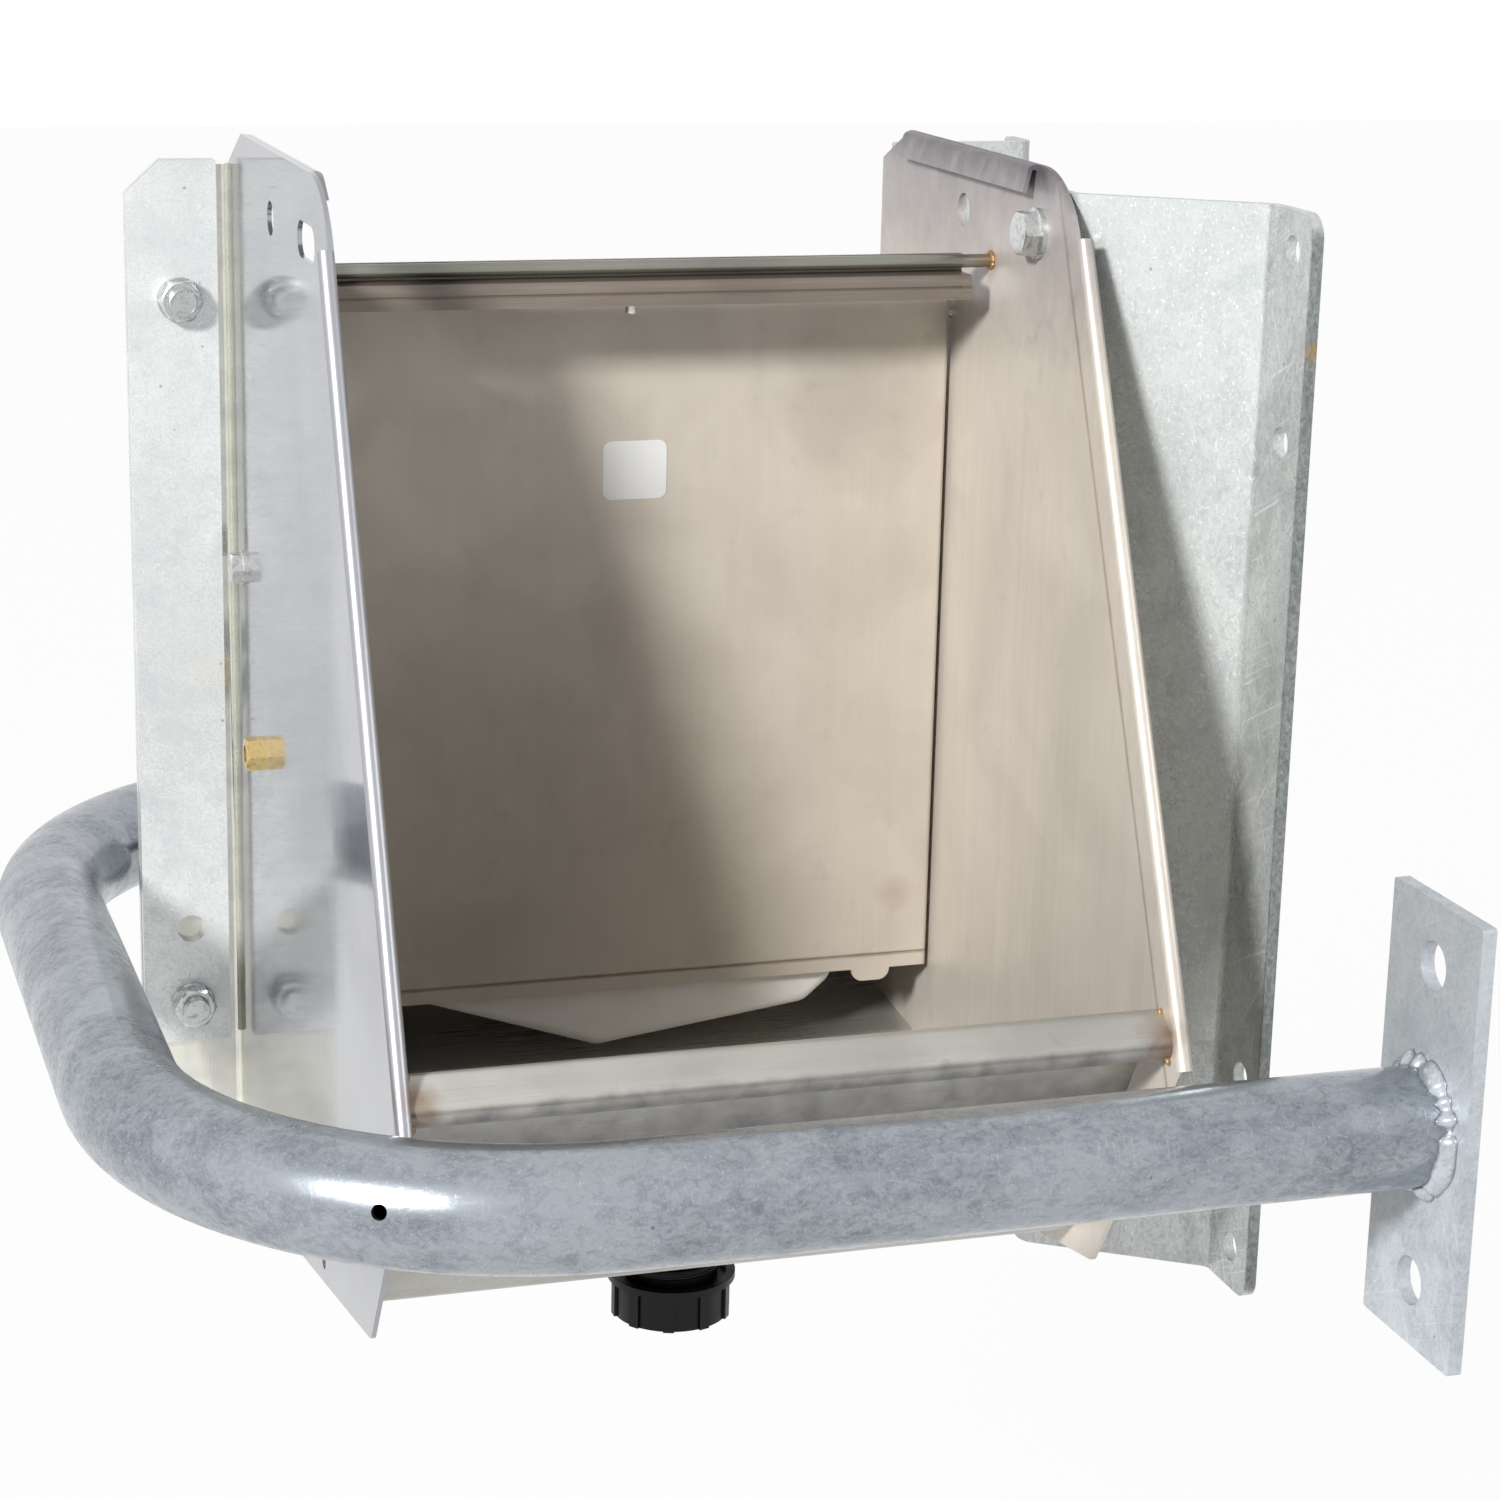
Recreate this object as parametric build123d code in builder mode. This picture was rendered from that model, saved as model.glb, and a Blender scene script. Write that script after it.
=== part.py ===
"""Stainless livestock drinking trough with float valve, side-wall bracket and tube bumper.

The trough is a folded sheet basin between two tall splash panels. A cover hides the
float valve, a galvanised bracket carries the trough on a side wall, and a galvanised
U-shaped tube guards it. Millimetres, +Z up, the animal drinks from -Y.

Origin: on the wall face, midway between the two upper bolts of the bracket's front
flange. The wall is the plane X = 0, and the object lies at negative X.
"""

import os
from math import atan2, cos, radians, sin, tan

from build123d import *

os.makedirs("parts", exist_ok=True)

# ------------------------------------------------------------------ where things stand
wall_gap = 76.0            # wall face to the right panel's outer face
trough_width = 320.0       # outer face to outer face of the side panels
bolt_to_back = 300.0       # wall bolt line to the rear flanges' front face
datum_height = 395.0       # origin above the side panels' lowest front corner (the toe)

# ------------------------------------------------------------------ trough sheet metal
sheet = 2.0
bend_radius = 3.0
contact_gap = 0.3
cut_allowance = 1.0        # how far a cutting body runs past the face it opens

panel_height = 461.0       # toe to top edge
panel_back_height = 443.0
panel_back_chamfer = 38.0  # run of the slope at the top rear corner
brow_reach = 233.0         # top front corner, forward of the flanges, before rounding
brow_radius = 46.0
bead_foot_reach = 389.0    # lowest end of the rolled front edge
bead_foot_height = 114.0
bead_radius = 3.5
toe_reach = 314.0
toe_radius = 5.0
skirt_drop = 57.0          # rear end of the lower edge, below the toe
flange_width = 45.0
flange_chamfer = 18.0
hem_reach = 5.5            # fold's inner leg at its top, from the panel's outer face
hem_lean = 2.5             # how much further the leg's free edge stands off
hem_height = 12.0
hem_radius = 2.2
hem_setback = 4.0          # hem ends, clear of the panel's corners

lift_hole_diameter = 15.0
lift_hole_reach = 112.0
fixing_height = 432.0      # lift hole, slot and bracket bolt share one level
fixing_slot_length = 38.0
fixing_slot_width = 15.0
fixing_slot_reach = 195.0
skirt_hole_diameter = 8.0
skirt_hole_reach = 212.0
skirt_hole_height = -8.0

floor_height = 6.0         # middle of the floor sheet at the drain
floor_back_height = 33.0
floor_step_height = 26.0
floor_step_reach = 84.0
sump_back_reach = 150.0
sump_front_reach = 291.0
rim_back_reach = 368.0
rim_height = 136.0
rim_front_reach = 383.0
rim_front_height = 125.5
rim_lip_height = 117.0
rim_return = 14.0
fold_radius = 5.4
back_wall_top = 339.0
back_wall_ledge = 12.0
back_wall_drop = 8.0       # back wall's foot, below the floor's rear edge

rod_radius = 3.0
rod_reach = 149.0
rod_height = 413.5

# ------------------------------------------------------------------ valve cover
rail_length = 290.0
rail_front_reach = 160.0
rail_bottom = 397.8
rail_top = 408.5
rail_groove = 0.6
rail_groove_stop = 5.0
cover_side_gap = 2.0       # cover to each side panel
cover_front_reach = 105.5
cover_bottom = 67.5
cover_top = 390.0
cover_return = 12.0
cover_crease_height = 7.0
cover_crease_depth = 0.6
tab_width = 19.0
tab_drop = 6.0
tab_offset = 127.5         # tab centre, right of the trough's middle
pin_radius = 2.0
pin_reach = 101.5
pin_height = 383.0
pin_inset = 3.0            # pin beyond the cover's side
notch_radius = 3.0
running_clearance = 0.05
tab_round = 0.5            # flat left under the rounded tab, on each side
stop_stud_radius = 2.5
stop_stud_low = 393.5
stop_stud_reach = 152.8
stop_stud_offset = -10.5   # from the trough's middle
stop_nut_flats = 8.0
stop_nut_thickness = 4.0

# ------------------------------------------------------------------ float valve
valve_reach = 77.0         # valve axis, forward of the rear flanges
valve_height = 185.0
stud_radius = 4.0
stud_nut_flats = 14.0
stud_nut_thickness = 8.7
stud_length = 6.0          # from the left panel's outer face
carrier_front_reach = 89.0
carrier_back_reach = 18.0
carrier_bottom = 162.0
carrier_top = 282.0
carrier_bolt_reach = 32.0
carrier_bolt_height = 262.0
valve_body_radius = 13.0
valve_body_length = 30.0
nozzle_radius = 7.0
nozzle_length = 10.0
nozzle_bore = 3.0
inlet_radius = 10.5
inlet_rise = 48.0
inlet_bore = 7.0
inlet_neck_radius = 9.5
inlet_thread_length = 16.0
ear_gap = 14.0
ear_thickness = 3.0
ear_end = 78.0             # ears, from the left panel's outer face
ear_bottom = 154.0
ear_top = 182.0
ear_start = 12.0          # where the ears leave the valve body
ear_slope = 12.0
pivot_offset = 70.0        # lever pin, from the left panel's outer face
pivot_height = 162.0
lever_pin_radius = 2.5
seal_radius = 6.0
seal_thickness = 3.0
seal_travel = 6.3          # seal to nozzle with the valve wide open
stem_radius = 4.0
stem_length = 12.8
stem_round = 3.9
guide_radius = 8.0
guide_length = 4.0
guide_gap = 1.3
stem_flange = 1.0
stem_to_lever = 0.5
lever_width = 12.0
lever_thickness = 3.0
lever_hub_radius = 5.5
lever_side_clearance = 0.5
float_left = 63.5          # float's sides, from the left panel's outer face
float_right = 271.0
float_front_reach = 99.0
float_back_reach = 32.0
float_top = 95.0
float_left_height = 66.5
float_keel_offset = 153.5
float_keel_height = 36.5
float_right_height = 50.0
float_edge_radius = 6.0
float_corner_radius = 10.0
float_right_shoulder = 14.0
float_shoulder_height = 62.0
float_boss_radius = 12.0
float_boss_height = 6.0
float_stud_offset = 160.0
float_stud_radius = 3.0
float_stud_depth = 10.0
float_stud_tail = 2.0
lever_foot_left = 132.0
lever_foot_right = 174.0
lever_top = 190.0
float_nut_flats = 10.0
float_nut_thickness = 5.0

# ------------------------------------------------------------------ drain
drain_reach = 205.0
spigot_radius = 21.0
spigot_bore = 17.0
spigot_flange_radius = 30.0
spigot_flange = 3.0
gasket_thickness = 2.0
gasket_radius = 28.5
spigot_end = -46.0
locknut_radius = 28.0
locknut_thickness = 8.0
cap_radius = 26.0
cap_rim_radius = 29.0
cap_rim = 3.0
cap_height = 20.0
cap_floor = 4.0
cap_mouth_radius = 25.0
cap_mouth_depth = 3.0
cap_ribs = 10
cap_rib_depth = 1.2
cap_rib_width = 5.0
cap_seal = 2.0
cap_thread_clearance = 0.05

# ------------------------------------------------------------------ fasteners
m12_radius = 6.0
m12_flats = 18.0
m12_head = 7.5
m12_nut = 10.0
m12_hole = 13.5
m12_washer_radius = 11.0
m12_washer = 2.5
m12_tail = 3.0
m8_radius = 4.0
m8_flats = 13.0
m8_head = 5.3
m8_nut = 6.5
m8_washer_radius = 8.0
m8_washer = 1.6
panel_bolt_reach = 203.0
hole_clearance = 0.5
hex_crown = 0.96             # round crown of a hexagon's end, as a share of its flats
hex_turn_angle = 30.0

# ------------------------------------------------------------------ galvanised strips
strip_thickness = 5.0
strip_width = 41.0
strip_gap = 6.0            # strip edge to the panel's outer face
strip_bottom = 22.5
strip_top = 446.0
strip_chamfer_run = 16.0
strip_chamfer_drop = 15.0
flange_bolt_offset = 24.0  # from the panel's outer face
flange_bolt_low = 42.0
flange_bolt_high = 383.0
spare_hole_height = 79.5

# ------------------------------------------------------------------ wall bracket
bracket_plate = 5.0
bracket_bottom = -26.0
bracket_top = 452.0
bracket_bend = 5.0         # inside radius
front_flange_edge = 318.0  # forward of the rear flanges
front_flange_bend = 277.0
web_front_reach = 229.0
rear_flange_depth = 38.0
wall_bolt_half_pitch = 40.0
lower_bolts_drop = 362.0   # middle of the upper pair to middle of the lower pair
wall_hole_diameter = 13.5
bracket_corner = 11.0
bracket_low_corner = 8.0
rear_corner_chamfer = 16.0
rear_flange_holes = 19.0   # behind the trough's rear flanges

# ------------------------------------------------------------------ tube bumper
tube_radius = 24.15
tube_wall = 2.9
tube_bend = 165.0
tube_front_reach = 462.0
tube_back_reach = -94.0
tube_left = -97.0          # left run, from the left panel's outer face
tube_height = 112.0
plate_width = 71.0
plate_height = 184.0
plate_thickness = 6.0
plate_hole_diameter = 20.0
plate_hole_half_pitch = 66.0
plate_corner = 1.5
weld_leg = 6.5
vent_diameter = 6.0
vent_bend_angle = 30.0
vent_rise_angle = 14.0

# ------------------------------------------------------------------ derived places
right_out = -wall_gap
right_in = right_out - sheet
left_out = right_out - trough_width
left_in = left_out + sheet
middle = (left_out + right_out) / 2
back = bolt_to_back
toe = -datum_height


def ahead(reach):
    """Y of a point that lies this far forward of the rear flanges' front face."""
    return back - reach


def up(height):
    """Z of a point that lies this far above the side panels' toe."""
    return toe + height


def side_plane(x):
    """Plane across X at x: its own x is Y and its own y is Z."""
    return Plane.YZ.offset(x)


def front_plane(y):
    """Plane across Y at y: its own x is X, its own y is Z, and it faces -Y."""
    return Plane.XZ.offset(-y)


def level_plane(z):
    """Plane across Z at z."""
    return Plane.XY.offset(z)


def save(builder, name):
    """Label the finished piece and write its STEP file."""
    builder.part.label = name
    export_step(builder.part, f"parts/{name}.step")


def discs(plane, spots, radius, height, mode=Mode.ADD):
    """Add or cut a round of this radius at each spot, growing along the plane's normal."""
    with BuildSketch(plane) as rounds:
        with Locations(*spots):
            Circle(radius)
    extrude(rounds.sketch, amount=height, mode=mode)


def turned_hex(flats, height, bore):
    """A hexagon across flats, standing on XY, with its far corners turned off and a bore if any."""
    corner = flats / cos(radians(30)) / 2
    crown = flats / 2 * hex_crown
    with BuildPart() as hexagon:
        with BuildSketch():
            RegularPolygon(flats / 2, 6, major_radius=False)
        extrude(amount=height)
        with BuildSketch(Plane.XZ):
            Polygon(
                (0, 0),
                (corner, 0),
                (corner, height - (corner - crown) * tan(radians(hex_turn_angle))),
                (crown, height),
                (0, height),
                align=None,
            )
        revolve(axis=Axis.Z, mode=Mode.INTERSECT)
        if bore:
            with BuildSketch():
                Circle(bore)
            extrude(amount=height, mode=Mode.SUBTRACT)
    return hexagon.part


def seat(piece, plane, spots, turn=0):
    """Add a piece at each spot of the plane, standing along its normal, or behind it for turn 180."""
    for x, y in spots:
        add(piece.moved(plane.location * Location((x, y, 0), (turn, 0, 0))))


m12_head_shape = turned_hex(m12_flats, m12_head, 0)
m12_nut_shape = turned_hex(m12_flats, m12_nut, m12_radius + running_clearance)
m8_head_shape = turned_hex(m8_flats, m8_head, 0)
m8_nut_shape = turned_hex(m8_flats, m8_nut, m8_radius + running_clearance)
stud_nut_shape = turned_hex(stud_nut_flats, stud_nut_thickness, stud_radius + running_clearance)
float_nut_shape = turned_hex(float_nut_flats, float_nut_thickness, float_stud_radius + running_clearance)
stop_nut_shape = turned_hex(
    stop_nut_flats, stop_nut_thickness, stop_stud_radius + running_clearance
)
locknut_shape = turned_hex(2 * locknut_radius, locknut_thickness, spigot_radius + running_clearance)

# ------------------------------------------------------------------ side panels
bead_foot = Vector(ahead(bead_foot_reach), up(bead_foot_height))
brow_corner = Vector(ahead(brow_reach), up(panel_height))
front_edge = brow_corner - bead_foot
front_slope = atan2(front_edge.Y, front_edge.X)
brow_tangent = brow_radius * tan(front_slope / 2)
bead_length = front_edge.length - brow_tangent
panel_outline = [
    (back + sheet, up(-skirt_drop)),
    (ahead(toe_reach), up(0)),
    (bead_foot.X, bead_foot.Y),
    (brow_corner.X, brow_corner.Y),
    (ahead(panel_back_chamfer), up(panel_height)),
    (back + sheet, up(panel_back_height)),
]
panel_span = panel_height + skirt_drop

with BuildPart() as panel_blank:
    # sheet and rear flange in plan, with the bend between them
    with BuildSketch(level_plane(up(-skirt_drop))) as plan:
        Polygon(
            (right_in, ahead(bead_foot_reach)),
            (right_out, ahead(bead_foot_reach)),
            (right_out, back),
            (right_out + flange_width, back),
            (right_out + flange_width, back + sheet),
            (right_in, back + sheet),
            align=None,
        )
        fillet(plan.vertices().sort_by_distance((right_in, back + sheet))[0], bend_radius + sheet)
        fillet(plan.vertices().sort_by_distance((right_out, back))[0], bend_radius)
    extrude(amount=panel_span)
    # side view of the panel
    with BuildSketch(side_plane(right_in)) as profile:
        Polygon(*panel_outline, align=None)
        fillet(profile.vertices().sort_by_distance((brow_corner.X, brow_corner.Y))[0], brow_radius)
        fillet(profile.vertices().sort_by_distance((ahead(toe_reach), up(0)))[0], toe_radius)
    extrude(amount=sheet + flange_width, mode=Mode.INTERSECT)
    # rolled front edge, on the outer side of the sheet
    bead_plane = Plane(
        origin=(right_in + bead_radius, bead_foot.X, bead_foot.Y),
        x_dir=(1, 0, 0),
        z_dir=(0, front_edge.X, front_edge.Y),
    )
    with BuildSketch(bead_plane):
        Circle(bead_radius)
    extrude(amount=bead_length)
    # folded-over top edge, on the inner side of the sheet
    hem_front = brow_corner.X + brow_tangent + hem_setback
    hem_back = ahead(panel_back_chamfer + hem_setback)
    with BuildSketch(front_plane(hem_back)):
        with BuildLine():
            FilletPolyline(
                (right_out - sheet / 2, up(panel_height - hem_height)),
                (right_out - sheet / 2, up(panel_height - sheet / 2)),
                (right_out - hem_reach, up(panel_height - sheet / 2)),
                (right_out - hem_reach - hem_lean, up(panel_height - hem_height)),
                radius=hem_radius,
            )
        trace(line_width=sheet)
    extrude(amount=hem_back - hem_front)
    # outer top corner of the flange
    with BuildSketch(front_plane(back + sheet)):
        flange_edge = right_out + flange_width
        Polygon(
            (flange_edge, up(panel_back_height + sheet)),
            (flange_edge - flange_chamfer - sheet, up(panel_back_height + sheet)),
            (flange_edge, up(panel_back_height - flange_chamfer)),
            align=None,
        )
    extrude(amount=sheet, mode=Mode.SUBTRACT)
    # lifting hole, slot for the bracket bolt and the skirt's small hole
    with BuildSketch(side_plane(right_in - cut_allowance)):
        with Locations((ahead(lift_hole_reach), up(fixing_height))):
            Circle(lift_hole_diameter / 2)
        with Locations((ahead(fixing_slot_reach), up(fixing_height))):
            SlotOverall(fixing_slot_length, fixing_slot_width)
        with Locations((ahead(skirt_hole_reach), up(skirt_hole_height))):
            Circle(skirt_hole_diameter / 2)
    extrude(amount=sheet + 2 * cut_allowance, mode=Mode.SUBTRACT)
    # holes for the flange bolts
    with BuildSketch(front_plane(back + sheet + cut_allowance)):
        with Locations(
            (right_out + flange_bolt_offset, up(flange_bolt_low)),
            (right_out + flange_bolt_offset, up(flange_bolt_high)),
        ):
            Circle(m12_hole / 2)
    extrude(amount=sheet + 2 * cut_allowance, mode=Mode.SUBTRACT)

with BuildPart() as right_side_panel:
    add(panel_blank.part)
save(right_side_panel, "right_side_panel")

with BuildPart() as left_side_panel:
    add(mirror(panel_blank.part, about=side_plane(middle), mode=Mode.PRIVATE))
    with BuildSketch(side_plane(left_out - cut_allowance)):
        with Locations((ahead(valve_reach), up(valve_height))):
            Circle(stud_radius + hole_clearance)
        with Locations((ahead(carrier_bolt_reach), up(carrier_bolt_height))):
            Circle(m8_radius + hole_clearance)
    extrude(amount=sheet + 2 * cut_allowance, mode=Mode.SUBTRACT)
save(left_side_panel, "left_side_panel")

# ------------------------------------------------------------------ basin and back wall
inner_width = right_in - left_in
with BuildPart() as basin:
    with BuildSketch(side_plane(left_in)):
        with BuildLine():
            FilletPolyline(
                (ahead(sheet + contact_gap), up(floor_back_height)),
                (ahead(floor_step_reach), up(floor_step_height)),
                (ahead(sump_back_reach), up(floor_height)),
                (ahead(sump_front_reach), up(floor_height)),
                (ahead(rim_back_reach), up(rim_height)),
                (ahead(rim_front_reach), up(rim_front_height)),
                (ahead(rim_front_reach), up(rim_lip_height)),
                (ahead(rim_front_reach - rim_return), up(rim_lip_height)),
                radius=fold_radius,
            )
        trace(line_width=sheet)
    extrude(amount=inner_width)
    with BuildSketch(level_plane(up(floor_height - sheet))):
        with Locations((middle, ahead(drain_reach))):
            Circle(spigot_radius + hole_clearance)
    extrude(amount=2 * sheet, mode=Mode.SUBTRACT)
save(basin, "basin")

with BuildPart() as back_wall:
    with BuildSketch(side_plane(left_in)):
        with BuildLine():
            FilletPolyline(
                (ahead(sheet / 2), up(floor_back_height - back_wall_drop)),
                (ahead(sheet / 2), up(back_wall_top)),
                (ahead(sheet / 2 + back_wall_ledge), up(back_wall_top)),
                radius=fold_radius,
            )
        trace(line_width=sheet)
    extrude(amount=inner_width)
save(back_wall, "back_wall")

with BuildPart() as top_rod:
    with BuildSketch(side_plane(left_in)):
        with Locations((ahead(rod_reach), up(rod_height))):
            Circle(rod_radius)
    extrude(amount=inner_width)
save(top_rod, "top_rod")

# ------------------------------------------------------------------ cover rail and cover
rail_leg_reach = rod_reach - rod_radius - sheet / 2
with BuildPart() as cover_rail:
    with BuildSketch(side_plane(middle - rail_length / 2)):
        with BuildLine():
            FilletPolyline(
                (ahead(rail_front_reach - sheet / 2), up(rail_bottom)),
                (ahead(rail_front_reach - sheet / 2), up(rail_top - sheet / 2)),
                (ahead(rail_leg_reach), up(rail_top - sheet / 2)),
                (ahead(rail_leg_reach), up(rod_height + rod_radius)),
                radius=sheet,
            )
        trace(line_width=sheet)
    extrude(amount=rail_length)
    # shallow line along the middle of the front lip
    with BuildSketch(front_plane(ahead(rail_front_reach - rail_groove))):
        with Locations((middle - rail_groove_stop / 2, up((rail_bottom + rail_top) / 2))):
            Rectangle(rail_length - rail_groove_stop, 2 * rail_groove)
    extrude(amount=2 * rail_groove, mode=Mode.SUBTRACT)
save(cover_rail, "cover_rail")

cover_left = left_in + cover_side_gap
cover_right = right_in - cover_side_gap
cover_width = cover_right - cover_left
cover_front = ahead(cover_front_reach)
with BuildPart() as valve_cover:
    # front plate with a side return at each end, in plan
    with BuildSketch(level_plane(up(cover_bottom))) as plan:
        with Locations((middle, cover_front + cover_return / 2)):
            Rectangle(cover_width, cover_return)
        fillet(plan.vertices().group_by(Axis.Y)[0], sheet + contact_gap)
        with Locations((middle, cover_front + sheet + cover_return / 2)):
            Rectangle(cover_width - 2 * sheet, cover_return, mode=Mode.SUBTRACT)
    extrude(amount=cover_top - cover_bottom)
    # crease above the lower edge
    with BuildSketch(front_plane(cover_front + cover_crease_depth)):
        with Locations((middle, up(cover_bottom + cover_crease_height))):
            Rectangle(cover_width + 2 * cut_allowance, 2 * cover_crease_depth)
    extrude(amount=2 * cover_crease_depth, mode=Mode.SUBTRACT)
    # rounded finger tab under the right end
    with BuildSketch(front_plane(cover_front + sheet)) as tab:
        with Locations((middle + tab_offset, up(cover_bottom))):
            Rectangle(tab_width, 2 * tab_drop)
        fillet(tab.vertices().group_by(Axis.Y)[0], tab_drop - tab_round)
    extrude(amount=sheet)
    # pin holes through both returns, and the round notch at the corner before each
    pin_spot = [(ahead(pin_reach), up(pin_height))]
    discs(side_plane(cover_left), pin_spot, pin_radius + running_clearance, cover_width, Mode.SUBTRACT)
    notch_spots = [(cover_left, up(pin_height)), (cover_right, up(pin_height))]
    discs(front_plane(cover_front + sheet / 2), notch_spots, notch_radius, sheet, Mode.SUBTRACT)
save(valve_cover, "valve_cover")

pin_length = cover_side_gap + sheet + pin_inset
with BuildPart() as cover_pins:
    for start in (left_in, right_in - pin_length):
        discs(side_plane(start), pin_spot, pin_radius, pin_length)
save(cover_pins, "cover_pins")

# stop stud under the rail, with its nut
stop_spot = [(middle + stop_stud_offset, ahead(stop_stud_reach))]
rail_underside = up(rail_top - sheet)
with BuildPart() as stop_stud:
    discs(level_plane(rail_underside), stop_spot, stop_stud_radius, up(stop_stud_low) - rail_underside)
    fillet(stop_stud.faces().sort_by(Axis.Z)[0].edges(), stop_stud_radius / 4)
save(stop_stud, "stop_stud")

with BuildPart() as stop_nut:
    seat(stop_nut_shape, level_plane(rail_underside), stop_spot, 180)
save(stop_nut, "stop_nut")

# ------------------------------------------------------------------ float valve
valve_y = ahead(valve_reach)
valve_z = up(valve_height)
carrier_x = left_in + sheet
carrier_bolt_spot = [(ahead(carrier_bolt_reach), up(carrier_bolt_height))]
valve_spot = [(valve_y, valve_z)]

with BuildPart() as valve_carrier:
    with BuildSketch(side_plane(left_in)) as plate:
        Polygon(
            (ahead(carrier_front_reach), up(carrier_bottom)),
            (ahead(carrier_back_reach), up(carrier_bottom)),
            (ahead(carrier_back_reach), up(carrier_top)),
            (ahead(carrier_back_reach + 2 * m8_washer_radius + sheet), up(carrier_top)),
            (ahead(carrier_front_reach), up(valve_height + inlet_rise / 2)),
            align=None,
        )
        fillet(plate.vertices(), m8_radius)
    extrude(amount=sheet)
    discs(side_plane(left_in), valve_spot, stud_radius + hole_clearance, sheet, Mode.SUBTRACT)
    discs(side_plane(left_in), carrier_bolt_spot, m8_radius + hole_clearance, sheet, Mode.SUBTRACT)
save(valve_carrier, "valve_carrier")

carrier_bolt_seat = left_out - m8_washer
with BuildPart() as carrier_bolt:
    seat(m8_head_shape, side_plane(carrier_bolt_seat), carrier_bolt_spot, 180)
    carrier_bolt_length = carrier_x - carrier_bolt_seat + m8_washer + m8_nut + m8_washer
    discs(side_plane(carrier_bolt_seat), carrier_bolt_spot, m8_radius, carrier_bolt_length)
save(carrier_bolt, "carrier_bolt")

with BuildPart() as carrier_nut:
    seat(m8_nut_shape, side_plane(carrier_x + m8_washer), carrier_bolt_spot)
save(carrier_nut, "carrier_nut")

with BuildPart() as carrier_washers:
    for face in (carrier_bolt_seat, carrier_x):
        discs(side_plane(face), carrier_bolt_spot, m8_washer_radius, m8_washer)
        discs(
            side_plane(face),
            carrier_bolt_spot,
            m8_radius + hole_clearance,
            m8_washer,
            Mode.SUBTRACT,
        )
save(carrier_washers, "carrier_washers")

nozzle_x = carrier_x + valve_body_length
nozzle_end = nozzle_x + nozzle_length
seal_x = nozzle_end + seal_travel
stem_x = seal_x + seal_thickness
guide_x = stem_x + guide_gap
stem_end = stem_x + stem_length
inlet_x = carrier_x + valve_body_length / 2
inlet_top = valve_z + inlet_rise
pivot_x = left_out + pivot_offset
pivot_z = up(pivot_height)
with BuildPart() as valve_body:
    # body across the panel, with its fixing stud to the left and its nozzle to the right
    discs(side_plane(carrier_x), valve_spot, valve_body_radius, valve_body_length)
    fillet(valve_body.faces().sort_by(Axis.X)[-1].edges(), sheet)
    discs(side_plane(carrier_x), valve_spot, stud_radius, left_out - stud_length - carrier_x)
    discs(side_plane(nozzle_x), valve_spot, nozzle_radius, nozzle_length)
    # upright inlet: a neck and the collar that takes the pipe thread
    inlet_spot = [(inlet_x, valve_y)]
    discs(level_plane(valve_z), inlet_spot, inlet_neck_radius, inlet_rise)
    discs(level_plane(inlet_top), inlet_spot, inlet_radius, -inlet_thread_length)
    # two ears that carry the lever pin, joined by the stem guide
    for side in (-1, 1):
        ear_y = valve_y + side * (ear_gap + ear_thickness) / 2 + ear_thickness / 2
        with BuildSketch(front_plane(ear_y)) as ear:
            Polygon(
                (left_out + ear_start, up(ear_top)),
                (guide_x + guide_length, up(ear_top)),
                (left_out + ear_end, up(ear_top - ear_slope)),
                (left_out + ear_end, up(ear_bottom)),
                (guide_x + guide_length, up(ear_bottom)),
                (left_out + ear_start, up(ear_top - ear_slope)),
                align=None,
            )
        extrude(amount=ear_thickness)
    with BuildSketch(side_plane(guide_x)):
        with Locations((valve_y, (up(pivot_height) + valve_z + guide_radius) / 2)):
            Rectangle(ear_gap + 2 * ear_thickness, valve_z + guide_radius - up(pivot_height))
    extrude(amount=guide_length)
    # water way, stem guide hole and pin holes
    discs(level_plane(valve_z), inlet_spot, inlet_bore, inlet_rise, Mode.SUBTRACT)
    discs(side_plane(inlet_x), valve_spot, nozzle_bore, nozzle_end - inlet_x, Mode.SUBTRACT)
    discs(side_plane(guide_x), valve_spot, stem_radius + running_clearance, guide_length, Mode.SUBTRACT)
    pin_face = front_plane(valve_y + ear_gap)
    discs(pin_face, [(pivot_x, pivot_z)], lever_pin_radius, 2 * ear_gap, Mode.SUBTRACT)
save(valve_body, "valve_body")

with BuildPart() as stud_nut:
    seat(stud_nut_shape, side_plane(left_out), valve_spot, 180)
save(stud_nut, "stud_nut")

with BuildPart() as valve_stem:
    discs(side_plane(stem_x), valve_spot, seal_radius, stem_flange)
    discs(side_plane(stem_x), valve_spot, stem_radius, stem_length)
    fillet(valve_stem.faces().sort_by(Axis.X)[-1].edges(), stem_round)
save(valve_stem, "valve_stem")

with BuildPart() as valve_seal:
    discs(side_plane(seal_x), valve_spot, seal_radius, seal_thickness)
save(valve_seal, "valve_seal")

pivot_spot = [(pivot_x, pivot_z)]
ears_width = ear_gap + 2 * ear_thickness
with BuildPart() as lever_pin:
    discs(front_plane(valve_y + ears_width / 2), pivot_spot, lever_pin_radius, ears_width)
save(lever_pin, "lever_pin")

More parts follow.
